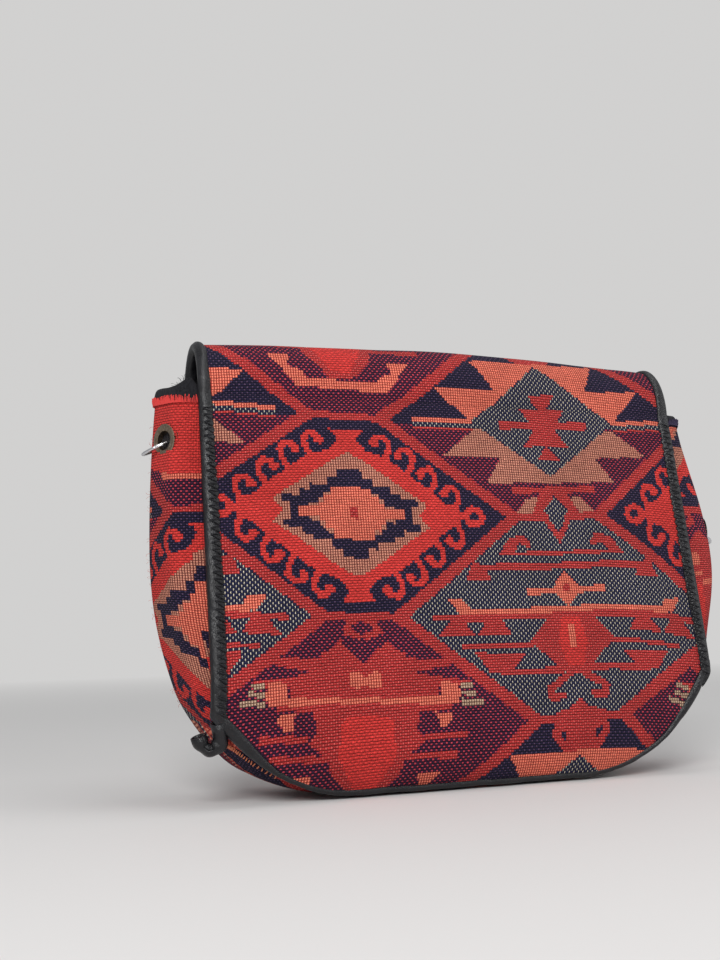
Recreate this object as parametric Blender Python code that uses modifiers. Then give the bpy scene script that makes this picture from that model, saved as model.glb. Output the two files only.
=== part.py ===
# A woven kilim handbag: a soft pouch with bulging side gussets, a zipped mouth, and a full flap that
# comes over the top from the back and wraps the belly. Metres, +Z up, the front faces -Y.
# The origin is at the middle of the base.
import bmesh
import bpy
import math
import numpy as np
from mathutils import Matrix, Vector

MM = 0.001

# Body of the bag: half sizes on the outer face of the cloth
MOUTH_Z = 187 * MM
BASE_HALF_DEPTH = 31 * MM
FRONT_LEAN = 24 * MM
BACK_LEAN = 8 * MM
LEAN_START = 40 * MM
LEAN_POWER = 1.2
RIDGE_HALF = 151.5 * MM
RIDGE_Z = 115 * MM
RIDGE_TOP_TAPER = 3.5 * MM
RIDGE_LOW_TAPER = 19 * MM
RIGHT_SWELL = 6 * MM
RIGHT_SWELL_HALF = 65 * MM
WING = 9 * MM
CORNER_DEPTH = 0.93
ROUND_HEIGHT = 28 * MM
ROUND_DEPTH = 19 * MM
ROUND_END = 20 * MM
FLAT_HALF = 55 * MM
END_X = 129 * MM
END_LIFT_LEFT = 26 * MM
END_LIFT_RIGHT = 31 * MM
END_LIFT_POWER = 2.4
LIFT_FADE = 130 * MM

# Cloth and seams
CLOTH = 1.8 * MM
LINING_CLOTH = 0.8 * MM
CLEAR = 0.7 * MM
SEAM_GAP = 1.5 * MM
BOTTOM_SEAM_DEG = 58

# Flap and its leather binding; a lip of the binding lies under the flap and one over it
FLAP_HALF = 129 * MM
FLAP_SEAM_Z = 150 * MM
FLAP_ARCH = 27.5 * MM
FLAP_CROWN = 4 * MM
FLAP_BOW = 0.08
FLAP_END_DEG = 35
FLAP_STAND_OFF = 2.0 * MM
FLAP_LINING_CLOTH = 0.7 * MM
LAYER_GAP = 0.45 * MM
FLAP_COLUMNS = 36
FLAP_FRONT_ROWS = 20
PATTERN_RELIEF = 0.25 * MM
LEATHER = 0.9 * MM
BINDING_WIDTH = 9 * MM
BOTTOM_BINDING_WIDTH = 6.5 * MM

# Mouth binding and zip
MOUTH_BINDING_HEIGHT = 5 * MM
MOUTH_BINDING_WALL = 2.6 * MM
ZIP_HALF = 108 * MM
TAPE_HALF = 114 * MM
TAPE_CLOTH = 0.7 * MM
TAPE_RISE = 5 * MM
TAPE_LAP = 0.9 * MM
ROW_GAP = 5 * MM
ROW_SPINE = 1.3 * MM
TOOTH_LENGTH = 1.5 * MM
TOOTH_WIDTH = 1.6 * MM
TOOTH_PITCH = 4 * MM
ROW_HEIGHT = 2.0 * MM
SLIDER_LENGTH = 11 * MM
SLIDER_PLATE = 1.0 * MM
SLIDER_X = ZIP_HALF - 12 * MM
STOP_LENGTH = 4 * MM
STOP_PLATE = 0.8 * MM
PULL_LENGTH = 19 * MM
PULL_WIDTH = 5.6 * MM
PULL_PLATE = 1.0 * MM
PULL_FRAME = 1.0 * MM
PULL_WINDOW = 4.0 * MM
BRIDGE_WIDTH = 2.0 * MM
BRIDGE_WALL = 0.9 * MM
RUN_CLEAR = 0.35 * MM

# Eyelets on both sides of each side fold, and the wire ring through each pair
EYELET_Z_LEFT = 166 * MM
EYELET_Z_RIGHT = 124 * MM
EYELET_OFF_FOLD = 8.6 * MM
EYELET_HOLE = 4.7 * MM
EYELET_BARREL = 0.6 * MM
EYELET_FLANGE = 7.9 * MM
EYELET_DOME = 1.0 * MM
EYELET_SINK = 0.4 * MM
WASHER_WALL = 0.7 * MM
WASHER_OUTER = 7.6 * MM
RING_WIRE = 1.5 * MM
RING_BIAS = 1.2 * MM
RING_DROOP_DEG = 25
RING_DROP = 1.3 * MM

# Turns a flat outline's Y to world Z
STANDING = Matrix.Rotation(math.radians(90), 4, "X")

# Kilim pattern
LATTICE_X = -60 * MM
LATTICE_STEP = 110 * MM
LATTICE_ROW = 100 * MM
LATTICE_APEX = 81 * MM
LATTICE_FLAT = 20 * MM
LATTICE_BAND = 4 * MM
YARNS = {
    "coral": (0.72, 0.042, 0.038),
    "salmon": (0.80, 0.17, 0.11),
    "tan": (0.46, 0.19, 0.13),
    "navy": (0.020, 0.017, 0.045),
    "purple": (0.16, 0.020, 0.045),
}
RAISED = ("coral", "salmon")
HOOKED_FIELDS = ((0.24, "salmon"), (0.36, "navy"), (0.46, "tan"), (0.70, "coral"))
STAR_FIELDS = ((0.20, "coral"), (0.46, "navy"), (0.70, "salmon"))
ANCHOR_FIELDS = ((0.30, "coral"), (0.42, "salmon"))

SECTION_POINTS = 24
FRONT_U = (3, 9)
BACK_U = (15, 21)


def clear_scene():
    for old in list(bpy.data.objects):
        bpy.data.objects.remove(old)
    for name in ("woven_handbag", "cutters"):
        if name not in bpy.data.collections:
            bpy.context.scene.collection.children.link(bpy.data.collections.new(name))


def link(obj, collection="woven_handbag"):
    bpy.data.collections[collection].objects.link(obj)
    return obj


def material(name, colour, roughness, metallic=0.0):
    mat = bpy.data.materials.new(name)
    mat.use_nodes = True
    shader = mat.node_tree.nodes["Principled BSDF"]
    shader.inputs["Base Color"].default_value = (*colour, 1.0)
    shader.inputs["Roughness"].default_value = roughness
    shader.inputs["Metallic"].default_value = metallic
    mat.diffuse_color = (*colour, 1.0)
    return mat


# Form of the pouch

def past(value, start, end):
    return max(0.0, (value - start) / (end - start))


def bottom_inset(z):
    if z >= ROUND_HEIGHT:
        return 0.0
    return 1.0 - math.sqrt(1.0 - (1.0 - z / ROUND_HEIGHT) ** 2)


def round_z(degrees):
    return ROUND_HEIGHT * (1.0 - math.cos(math.radians(degrees)))


def front_y(z):
    lean = FRONT_LEAN * past(z, LEAN_START, MOUTH_Z) ** LEAN_POWER
    return -BASE_HALF_DEPTH + ROUND_DEPTH * bottom_inset(z) + lean


def back_y(z):
    lean = BACK_LEAN * past(z, LEAN_START, MOUTH_Z) ** LEAN_POWER
    return BASE_HALF_DEPTH - ROUND_DEPTH * bottom_inset(z) - lean


def fold_x(z, right):
    top = RIDGE_TOP_TAPER * past(z, RIDGE_Z, MOUTH_Z) ** 2
    low = RIDGE_LOW_TAPER * past(-z, -RIDGE_Z, 0.0) ** 2
    swell = RIGHT_SWELL * max(0.0, 1.0 - ((z - RIDGE_Z) / RIGHT_SWELL_HALF) ** 2) ** 2 if right else 0.0
    return RIDGE_HALF + swell - top - low - ROUND_END * bottom_inset(z)


def quarter_section(z, wall, right):
    # Control points of one quarter of the horizontal section, from the fold to the middle of a wall
    fold = fold_x(z, right)
    corner = fold - WING
    middle = (front_y(z) + back_y(z)) / 2
    side = 1.0 if right else -1.0
    shares = [(fold, 0.0), (fold - 0.2 * WING, 0.2 * CORNER_DEPTH), (fold - 0.6 * WING, 0.6 * CORNER_DEPTH),
              (corner, CORNER_DEPTH), (0.66 * corner, 0.985), (0.33 * corner, 1.0), (0.0, 1.0)]
    return [(side * x, middle + (wall(z) - middle) * share) for x, share in shares]


def section(z):
    # From the right fold round the front to the left fold, and back round the rear
    points = quarter_section(z, front_y, True) + quarter_section(z, front_y, False)[-2::-1]
    return np.array(points + quarter_section(z, back_y, False)[1:] + quarter_section(z, back_y, True)[-2:0:-1])


def spline(points, u):
    # A point of the closed uniform B-spline through the section's control points
    count = len(points)
    step = int(math.floor(u))
    t = u - step
    weights = ((1 - t) ** 3, 3 * t ** 3 - 6 * t ** 2 + 4, -3 * t ** 3 + 3 * t ** 2 + 3 * t + 1, t ** 3)
    return sum(points[(step + k - 1) % count] * w / 6 for k, w in enumerate(weights))


def end_lift(x, z):
    lift = END_LIFT_LEFT if x < 0 else END_LIFT_RIGHT
    return lift * past(abs(x), FLAT_HALF, END_X) ** END_LIFT_POWER * past(-z, -LIFT_FADE, 0.0) ** 2


def body_point(u, z):
    x, y = spline(section(z), u)
    return np.array((x, y, z + end_lift(x, z)))


def wall_y(x, z, span):
    # Depth of the front or back wall at a given x
    curve = [spline(section(z), u) for u in np.linspace(span[0] - 1.0, span[1] + 1.0, 49)]
    curve.sort(key=lambda p: p[0])
    return float(np.interp(x, [p[0] for p in curve], [p[1] for p in curve]))


def body_normal(u, z):
    step = 0.01
    along = body_point(u + step, z) - body_point(u - step, z)
    up = body_point(u, z + step * 0.05) - body_point(u, z - step * 0.05)
    normal = np.cross(along, up)
    normal /= np.linalg.norm(normal)
    middle = np.array((0.0, (front_y(z) + back_y(z)) / 2, z))
    return normal if np.dot(normal, body_point(u, z) - middle) > 0 else -normal


# Meshes

def mesh_object(name, verts, faces, mat, outward_from=None):
    mesh = bpy.data.meshes.new(name)
    mesh.from_pydata([tuple(v) for v in verts], [], faces)
    bm = bmesh.new()
    bm.from_mesh(mesh)
    bmesh.ops.remove_doubles(bm, verts=bm.verts, dist=1e-6)
    bmesh.ops.recalc_face_normals(bm, faces=bm.faces)
    if outward_from is not None:
        bm.normal_update()
        facing = sum(f.normal.dot(f.calc_center_median() - Vector(outward_from)) * f.calc_area()
                     for f in bm.faces)
        if facing < 0:
            bmesh.ops.reverse_faces(bm, faces=bm.faces)
    bm.to_mesh(mesh)
    bm.free()
    if mat:
        mesh.materials.append(mat)
    mesh.shade_smooth()
    return bpy.data.objects.new(name, mesh)


def grid_faces(rows, columns, closed=False):
    faces = []
    for r in range(rows - 1):
        for c in range(columns if closed else columns - 1):
            d = (c + 1) % columns
            faces.append((r * columns + c, r * columns + d, (r + 1) * columns + d, (r + 1) * columns + c))
    return faces


def thicken(obj, thickness):
    wall = obj.modifiers.new("wall", "SOLIDIFY")
    wall.thickness = thickness
    wall.offset = -1.0
    wall.use_even_offset = False
    return obj


def bake(obj):
    # Replaces the object's modifiers with their result, faces outward
    graph = bpy.context.evaluated_depsgraph_get()
    graph.update()
    mesh = bpy.data.meshes.new_from_object(obj.evaluated_get(graph))
    obj.modifiers.clear()
    obj.data = mesh
    bm = bmesh.new()
    bm.from_mesh(mesh)
    bmesh.ops.remove_doubles(bm, verts=bm.verts, dist=1e-6)
    bmesh.ops.recalc_face_normals(bm, faces=bm.faces)
    bm.to_mesh(mesh)
    bm.free()
    return obj


def cut(obj, cutters, operation="DIFFERENCE"):
    for cutter in cutters:
        boolean = obj.modifiers.new(cutter.name, "BOOLEAN")
        boolean.object = cutter
        boolean.operation = operation
        boolean.solver = "EXACT"
    return obj


def sweep(name, sections, mat):
    # A closed outline carried along a path, with flat ends
    count = len(sections[0])
    verts = [point for outline in sections for point in outline]
    faces = grid_faces(len(sections), count, closed=True)
    last = (len(sections) - 1) * count
    faces.append(tuple(range(count)))
    faces.append(tuple(last + k for k in range(count)))
    return mesh_object(name, verts, faces, mat)


def turned(name, profile, frame, mat, steps=18, collection="woven_handbag"):
    # A profile of (radius, height) turned round the frame's Z axis; one that leaves the axis is a closed loop
    mesh = bpy.data.meshes.new(name)
    count = len(profile)
    edges = [(k, (k + 1) % count) for k in range(count)]
    if profile[0][0] == 0.0:
        edges.pop()
    mesh.from_pydata([(r, 0.0, h) for r, h in profile], edges, [])
    if mat:
        mesh.materials.append(mat)
    obj = link(bpy.data.objects.new(name, mesh), collection)
    screw = obj.modifiers.new("turn", "SCREW")
    screw.steps = steps
    screw.render_steps = steps
    screw.use_merge_vertices = True
    screw.merge_threshold = 0.00001
    screw.use_smooth_shade = True
    bake(obj)
    obj.matrix_world = frame
    return obj


def extruded(name, outline, depth, frame, mat, holes=(), collection="woven_handbag"):
    # A flat outline, with any holes, given a thickness about its plane
    curve = bpy.data.curves.new(name, "CURVE")
    curve.dimensions = "2D"
    curve.fill_mode = "BOTH"
    curve.extrude = depth / 2
    for loop in (outline, *holes):
        line = curve.splines.new("POLY")
        line.points.add(len(loop) - 1)
        for point, (x, y) in zip(line.points, loop):
            point.co = (x, y, 0.0, 1.0)
        line.use_cyclic_u = True
    shape = link(bpy.data.objects.new(name + "_outline", curve), collection)
    graph = bpy.context.evaluated_depsgraph_get()
    graph.update()
    mesh = bpy.data.meshes.new_from_object(shape.evaluated_get(graph))
    bpy.data.objects.remove(shape)
    bm = bmesh.new()
    bm.from_mesh(mesh)
    bmesh.ops.remove_doubles(bm, verts=bm.verts, dist=1e-6)
    bmesh.ops.dissolve_limit(bm, angle_limit=0.01, verts=bm.verts, edges=bm.edges)
    bmesh.ops.recalc_face_normals(bm, faces=bm.faces)
    bm.to_mesh(mesh)
    bm.free()
    mesh.name = name
    mesh.materials.clear()
    if mat:
        mesh.materials.append(mat)
    obj = link(bpy.data.objects.new(name, mesh), collection)
    obj.matrix_world = frame
    return obj


# Pouch

def wall_levels():
    rounded = [round_z(d) for d in np.linspace(BOTTOM_SEAM_DEG, 90, 3)]
    straight = list(np.linspace(ROUND_HEIGHT, MOUTH_Z, 11))[1:]
    return rounded + straight


def seamed(u_first, u_last, steps, z):
    # Places along the section, closer together towards its ends, which stop half a seam's gap short
    ends = []
    for u, turn in ((u_first, 0.1), (u_last, -0.1)):
        run = np.linalg.norm(body_point(u + turn, z) - body_point(u, z))
        ends.append(u + turn * SEAM_GAP / 2 / run)
    shares = (1.0 - np.cos(np.linspace(0, math.pi, steps))) / 2
    return ends[0] + (ends[1] - ends[0]) * shares


def panel(name, u_first, u_last, steps, mats):
    levels = wall_levels()
    levels[0] += SEAM_GAP / 2
    verts = [body_point(u, z) for z in levels for u in seamed(u_first, u_last, steps, z)]
    obj = mesh_object(name, verts, grid_faces(len(levels), steps), mats["cloth"], (0, 0, MOUTH_Z / 2))
    paint(obj, mats, lambda p: yarn(p[0], MOUTH_Z + FLAP_ARCH - p[2]))
    return thicken(link(obj), CLOTH)


def dish(name, levels, us, mat):
    # Closed bottom: rings of the body's outer face and the rows that join front to back under it
    count = len(us)
    verts = [body_point(u, z) for z in levels for u in us]
    faces = grid_faces(len(levels), count, closed=True)
    half = count // 2
    for k in range(half):
        faces.append(tuple(dict.fromkeys((k, k + 1, (count - k - 1) % count, (count - k) % count))))
    return link(mesh_object(name, verts, faces, mat, (0, 0, MOUTH_Z / 2)))


def loop_us():
    # Finer round the folds and corners than along the front and back
    quarter = [0, 0.5, 1, 1.7, 2.3, 2.8, 3.2, 3.6, 4.1, 4.8, 6]
    front = quarter + [12 - u for u in quarter[-2::-1]]
    return front + [12 + u for u in front[1:-1]]


def make_pouch(mats):
    front = panel("front_panel", FRONT_U[0], FRONT_U[1], 11, mats)
    back = panel("back_panel", BACK_U[0], BACK_U[1], 25, mats)
    left = panel("side_gusset_left", FRONT_U[1], BACK_U[0], 13, mats)
    right = panel("side_gusset_right", BACK_U[1], FRONT_U[0] + SECTION_POINTS, 13, mats)
    levels = [round_z(d) for d in np.linspace(0, BOTTOM_SEAM_DEG, 4)]
    levels[-1] -= SEAM_GAP / 2
    base = thicken(dish("bottom_panel", levels, loop_us(), mats["cloth"]), CLOTH)
    inner_levels = [round_z(d) for d in (0, 30, 60, 90)] + list(np.linspace(ROUND_HEIGHT, MOUTH_Z, 11))[1:]
    lining = dish("lining", inner_levels, loop_us(), mats["lining"])
    inward = lining.modifiers.new("inside_the_cloth", "DISPLACE")
    inward.strength = -(CLOTH + CLEAR)
    inward.mid_level = 0.0
    thicken(lining, LINING_CLOTH)
    return front, back, left, right, base, lining


def make_mouth_binding(mats):
    us = loop_us()
    levels = (LAYER_GAP, MOUTH_BINDING_HEIGHT * 0.5, MOUTH_BINDING_HEIGHT)
    verts = [body_point(u, MOUTH_Z) + np.array((0, 0, dz)) for dz in levels for u in us]
    obj = mesh_object("mouth_binding", verts, grid_faces(len(levels), len(us), closed=True), mats["tape"],
                      (0, (front_y(MOUTH_Z) + back_y(MOUTH_Z)) / 2, MOUTH_Z))
    return thicken(link(obj), MOUTH_BINDING_WALL)


# Kilim pattern: hexagons in columns, every other column half a step down, with a coral band between them

def yarn(x, v):
    # Name of the yarn at a place on the cloth, v along it from the flap's crest
    column = round((x - LATTICE_X) / LATTICE_STEP)
    along = v - (LATTICE_ROW / 2 if column % 2 else 0.0)
    row = round(along / LATTICE_ROW)
    dx = abs(x - LATTICE_X - column * LATTICE_STEP)
    dv = abs(along - row * LATTICE_ROW)
    slope = 2 * (LATTICE_APEX - LATTICE_FLAT) / LATTICE_ROW
    gap = (LATTICE_APEX - slope * dv - dx) / math.hypot(1.0, slope)
    if gap < LATTICE_BAND or LATTICE_ROW / 2 - dv < LATTICE_BAND / 2:
        return "coral"
    odd = (row + column) % 2
    fields = HOOKED_FIELDS if column % 2 == 0 and odd else STAR_FIELDS if column % 2 else ANCHOR_FIELDS
    reach = dx / LATTICE_APEX + dv / (LATTICE_ROW * 0.62)
    for limit, name in fields:
        if reach < limit:
            return name
    return "navy" if odd else "purple"


def paint(obj, mats, name_at):
    # Gives each face the material of the yarn at its middle
    names = [m for m in YARNS]
    obj.data.materials.clear()
    for name in names:
        obj.data.materials.append(mats[name])
    for face in obj.data.polygons:
        face.material_index = names.index(name_at(face.center))
    return obj


# Flap

def flap_layers():
    lining = FLAP_STAND_OFF
    cloth = lining + FLAP_LINING_CLOTH + LAYER_GAP
    top = cloth + CLOTH
    return {"lining": lining, "cloth": cloth, "top": top}


def flap_y(x, z, wall):
    # The flap bows less than the body, so that its edges and corners stand off a little
    middle = (front_y(z) + back_y(z)) / 2
    return middle + (wall(z) - middle) * (1.0 - FLAP_BOW * (x / FLAP_HALF) ** 4)


def flap_path(x):
    # Points at one x, from the seam on the back, over the top, down the front and under the belly
    rear = [(flap_y(x, z, back_y), z) for z in np.linspace(FLAP_SEAM_Z, MOUTH_Z, 4)]
    behind = flap_y(x, MOUTH_Z, back_y)
    ahead = flap_y(x, MOUTH_Z, front_y)
    arch = FLAP_ARCH - FLAP_CROWN * (x / FLAP_HALF) ** 2
    over = [((behind + ahead) / 2 + (behind - ahead) / 2 * math.cos(a), MOUTH_Z + arch * math.sin(a))
            for a in np.linspace(0, math.pi, 10)[1:-1]]
    down = [(flap_y(x, z, front_y), z) for z in np.linspace(MOUTH_Z, ROUND_HEIGHT, FLAP_FRONT_ROWS)]
    under = [(flap_y(x, z, front_y), z)
             for z in (round_z(d) for d in np.linspace(90, FLAP_END_DEG, 6)[1:])]
    return [(x, y, z + end_lift(x, z)) for y, z in rear + over + down + under]


def flap_grid(xs):
    # Base points, outward normals and the two directions along the flap
    base = np.array([flap_path(x) for x in xs])
    across = np.gradient(base, axis=0)
    along = np.gradient(base, axis=1)
    across /= np.linalg.norm(across, axis=2, keepdims=True)
    along /= np.linalg.norm(along, axis=2, keepdims=True)
    normal = np.cross(along, across)
    normal /= np.linalg.norm(normal, axis=2, keepdims=True)
    return base, normal, across, along


def flap_sheet(name, xs, offset, thickness, mat):
    base, normal, _, _ = flap_grid(xs)
    points = base + normal * offset
    rows, columns = points.shape[:2]
    obj = mesh_object(name, points.reshape(-1, 3), grid_faces(rows, columns), mat, (0, 0, MOUTH_Z / 2))
    return thicken(link(obj), thickness)


def flap_cloth(xs, offset, mats):
    # The woven flap: its lattice bands and medallions are fields of colour that stand a little proud
    base, normal, _, _ = flap_grid(xs)
    steps = np.linalg.norm(np.diff(base, axis=1), axis=2)
    crest = int(np.argmax(base[len(xs) // 2, :, 2]))
    run = np.concatenate((np.zeros((len(xs), 1)), np.cumsum(steps, axis=1)), axis=1)
    run -= run[:, crest:crest + 1]
    inner = xs[1] - xs[0]
    proud = np.array([[PATTERN_RELIEF if yarn(x, v) in RAISED and abs(x) < FLAP_HALF - BINDING_WIDTH - inner
                       and k < len(line) - 3 else 0.0 for k, v in enumerate(line)] for x, line in zip(xs, run)])
    points = base + normal * (offset + proud)[..., None]
    rows, columns = points.shape[:2]
    obj = mesh_object("flap", points.reshape(-1, 3), grid_faces(rows, columns), mats["cloth"], (0, 0, MOUTH_Z / 2))
    paint(obj, mats, lambda p: nearest_yarn(p, base, run))
    return thicken(link(obj), CLOTH)


def nearest_yarn(place, base, run):
    near = int(np.argmin(((base - np.array(place)) ** 2).sum(axis=2)))
    return yarn(place[0], run.reshape(-1)[near])


def binding_outline(layers, width):
    # Channel section: (towards the flap's edge, away from the body), its slot holding the flap's edge
    low = layers["lining"] - LAYER_GAP
    high = layers["top"] + LAYER_GAP
    round_off = LEATHER * 0.6
    half = -width / 2
    return [(-width, high), (-width, high + LEATHER), (half, high + LEATHER),
            (LAYER_GAP, high + LEATHER), (LAYER_GAP + round_off, high + LEATHER * 0.7),
            (LAYER_GAP + LEATHER, high - LEATHER * 0.3), (LAYER_GAP + LEATHER, low + LEATHER * 0.3),
            (LAYER_GAP + round_off, low - LEATHER * 0.7), (LAYER_GAP, low - LEATHER), (half, low - LEATHER),
            (-width, low - LEATHER), (-width, low), (half, low), (LAYER_GAP, low),
            (LAYER_GAP, high), (half, high)]


def bent(path, normals, tangents, side, up):
    # Follows the flap back from its end by a negative side, or straight on past the end
    if side >= 0:
        return path[-1] + tangents[-1] * side + normals[-1] * up
    steps = np.linalg.norm(np.diff(path, axis=0), axis=1)
    run = np.concatenate(([0.0], np.cumsum(steps))) - steps.sum()
    point = np.array([np.interp(side, run, path[:, k]) for k in range(3)])
    normal = np.array([np.interp(side, run, normals[:, k]) for k in range(3)])
    return point + normal / np.linalg.norm(normal) * up


def make_flap(mats):
    layers = flap_layers()
    xs = np.linspace(-FLAP_HALF, FLAP_HALF, FLAP_COLUMNS + 1)
    flap = flap_cloth(xs, layers["top"], mats)
    lining = flap_sheet("flap_lining", xs[::2],
                        layers["lining"] + FLAP_LINING_CLOTH, FLAP_LINING_CLOTH, mats["lining"])
    outline = binding_outline(layers, BINDING_WIDTH)
    base, normal, across, along = flap_grid(xs)
    for name, edge, sign in (("flap_binding_left", 0, -1), ("flap_binding_right", -1, 1)):
        sections = [[base[edge, k] + across[edge, k] * sign * side + normal[edge, k] * up
                     for side, up in outline] for k in range(base.shape[1])]
        end = [point + along[edge, -1] * (LAYER_GAP + LEATHER) for point in sections[-1]]
        link(sweep(name, sections + [end], mats["leather"]))
    inner = FLAP_HALF - BINDING_WIDTH - LAYER_GAP
    between = [x for x in xs if abs(x) < inner - LEATHER]
    base, normal, across, along = flap_grid([-inner, *between, inner])
    sections = [[bent(base[k], normal[k], along[k], side, up)
                 for side, up in binding_outline(layers, BOTTOM_BINDING_WIDTH)]
                for k in range(base.shape[0])]
    link(sweep("flap_binding_bottom", sections, mats["leather"]))
    return flap, lining


# Zip

def zip_y():
    return (front_y(MOUTH_Z) + back_y(MOUTH_Z)) / 2


def zip_z():
    return MOUTH_Z + MOUTH_BINDING_HEIGHT + TAPE_RISE


def make_tape(name, side, mats):
    inner = zip_y() + side * (ROW_GAP / 2 + TOOTH_LENGTH + ROW_SPINE + LAYER_GAP)
    outer_span = FRONT_U if side < 0 else BACK_U
    foot_z = MOUTH_Z + MOUTH_BINDING_HEIGHT + LAYER_GAP + TAPE_CLOTH
    verts = []
    xs = np.linspace(-TAPE_HALF, TAPE_HALF, 15)
    steps = np.linspace(0, 1, 5)
    for x in xs:
        foot = wall_y(x, MOUTH_Z, outer_span) - side * TAPE_LAP
        for t in steps:
            y = foot + (inner - foot) * t
            verts.append((x, y, foot_z + (zip_z() - foot_z) * math.sin(t * math.pi / 2)))
    obj = mesh_object(name, verts, grid_faces(len(xs), len(steps)), mats["tape"], (0, zip_y(), 0))
    return thicken(link(obj), TAPE_CLOTH)


def make_teeth(name, side, mats):
    # A spine with square teeth that point to the other row
    outline = [(-ZIP_HALF, ROW_SPINE), (-ZIP_HALF, 0.0)]
    count = int(2 * ZIP_HALF / TOOTH_PITCH)
    shift = 0.0 if side < 0 else TOOTH_PITCH / 2
    start = -ZIP_HALF + TOOTH_PITCH / 4 + shift
    for k in range(count):
        x = start + k * TOOTH_PITCH
        if x + TOOTH_WIDTH > ZIP_HALF - TOOTH_PITCH / 8:
            break
        outline += [(x, 0.0), (x, -TOOTH_LENGTH), (x + TOOTH_WIDTH, -TOOTH_LENGTH), (x + TOOTH_WIDTH, 0.0)]
    outline += [(ZIP_HALF, 0.0), (ZIP_HALF, ROW_SPINE)]
    place = zip_y() + side * (ROW_GAP / 2 + TOOTH_LENGTH)
    outline = [(x, side * y) for x, y in outline]
    frame = Matrix.Translation((0, place, zip_z()))
    return extruded(name, outline, ROW_HEIGHT, frame, mats["zip_metal"])


def rounded_rectangle(x0, x1, half, radius, steps=4):
    points = []
    for cx, cy, start in ((x1 - radius, half - radius, 0), (x0 + radius, half - radius, 90),
                          (x0 + radius, -half + radius, 180), (x1 - radius, -half + radius, 270)):
        for a in np.linspace(start, start + 90, steps):
            points.append((cx + radius * math.cos(math.radians(a)), cy + radius * math.sin(math.radians(a))))
    return points


def make_slider(mats):
    # Two shield-shaped plates joined by a wedge between the rows, with a bridge for the pull
    reach = ROW_GAP / 2 + TOOTH_LENGTH + ROW_SPINE
    inner = ROW_HEIGHT / 2 + RUN_CLEAR
    outer = inner + SLIDER_PLATE
    centre = Vector((SLIDER_X, zip_y(), zip_z()))
    half = SLIDER_LENGTH / 2
    plate_z = inner + SLIDER_PLATE / 2
    outline = rounded_rectangle(-half, half, reach, 2.5 * MM)
    slider = extruded("zip_slider", outline, SLIDER_PLATE, Matrix.Translation(centre + Vector((0, 0, plate_z))),
                      mats["zip_metal"])
    lower = extruded("lower_plate", outline, SLIDER_PLATE,
                     Matrix.Translation(centre - Vector((0, 0, plate_z))), None, collection="cutters")
    web = ROW_GAP / 2 - RUN_CLEAR
    wedge = extruded("wedge", rounded_rectangle(-half + web, half - 0.5 * MM, web, web * 0.6),
                     2 * inner + SLIDER_PLATE, Matrix.Translation(centre), None, collection="cutters")
    span = SLIDER_LENGTH * 0.38
    rise = PULL_PLATE + 2 * RUN_CLEAR
    arch = [(-span, -LAYER_GAP), (-span, rise + BRIDGE_WALL), (span, rise + BRIDGE_WALL), (span, -LAYER_GAP),
            (span - BRIDGE_WALL, -LAYER_GAP), (span - BRIDGE_WALL, rise), (-span + BRIDGE_WALL, rise),
            (-span + BRIDGE_WALL, -LAYER_GAP)]
    bridge = extruded("bridge", arch, BRIDGE_WIDTH, Matrix.Translation(centre + Vector((0, 0, outer))) @ STANDING,
                      None, collection="cutters")
    cut(slider, [wedge, lower, bridge], "UNION")
    return centre + Vector((0, 0, outer + RUN_CLEAR + PULL_PLATE / 2))


def make_pull(axis, mats):
    # Flat tab with a window; the bar at the window's end turns under the slider's bridge
    bar = PULL_FRAME / 2
    outline = rounded_rectangle(-PULL_LENGTH, bar, PULL_WIDTH / 2, PULL_FRAME * 0.4)
    half = PULL_WIDTH / 2 - PULL_FRAME
    window = rounded_rectangle(-bar - PULL_WINDOW, -bar, half, PULL_FRAME * 0.3)
    return extruded("zip_pull", outline, PULL_PLATE, Matrix.Translation(axis), mats["zip_metal"], [window])


def make_stop(name, x, y, width, mats):
    # Clip folded over the end of a row: a plate above, one below and an end wall
    inner = ROW_HEIGHT / 2 + LAYER_GAP
    outer = inner + STOP_PLATE
    side = 1 if x > 0 else -1
    outline = [(-STOP_LENGTH / 2, inner), (-STOP_LENGTH / 2, outer), (STOP_LENGTH / 2, outer),
               (STOP_LENGTH / 2, -outer), (-STOP_LENGTH / 2, -outer), (-STOP_LENGTH / 2, -inner),
               (STOP_LENGTH / 2 - STOP_PLATE, -inner), (STOP_LENGTH / 2 - STOP_PLATE, inner)]
    outline = [(side * a, b) for a, b in outline]
    return extruded(name, outline, width, Matrix.Translation((x, y, zip_z())) @ STANDING, mats["zip_metal"])


def make_zip(mats):
    make_tape("zip_tape_front", -1, mats)
    make_tape("zip_tape_back", 1, mats)
    make_teeth("zip_teeth_front", -1, mats)
    make_teeth("zip_teeth_back", 1, mats)
    make_pull(make_slider(mats), mats)
    row = ROW_GAP / 2 + (TOOTH_LENGTH + ROW_SPINE) / 2
    row_width = TOOTH_LENGTH + ROW_SPINE
    end = ZIP_HALF + LAYER_GAP + STOP_PLATE - STOP_LENGTH / 2
    make_stop("zip_bottom_stop", end, zip_y(), ROW_GAP + 2 * row_width, mats)
    make_stop("zip_top_stop_front", -end, zip_y() - row, row_width, mats)
    make_stop("zip_top_stop_back", -end, zip_y() + row, row_width, mats)


# Eyelets and rings

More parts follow.
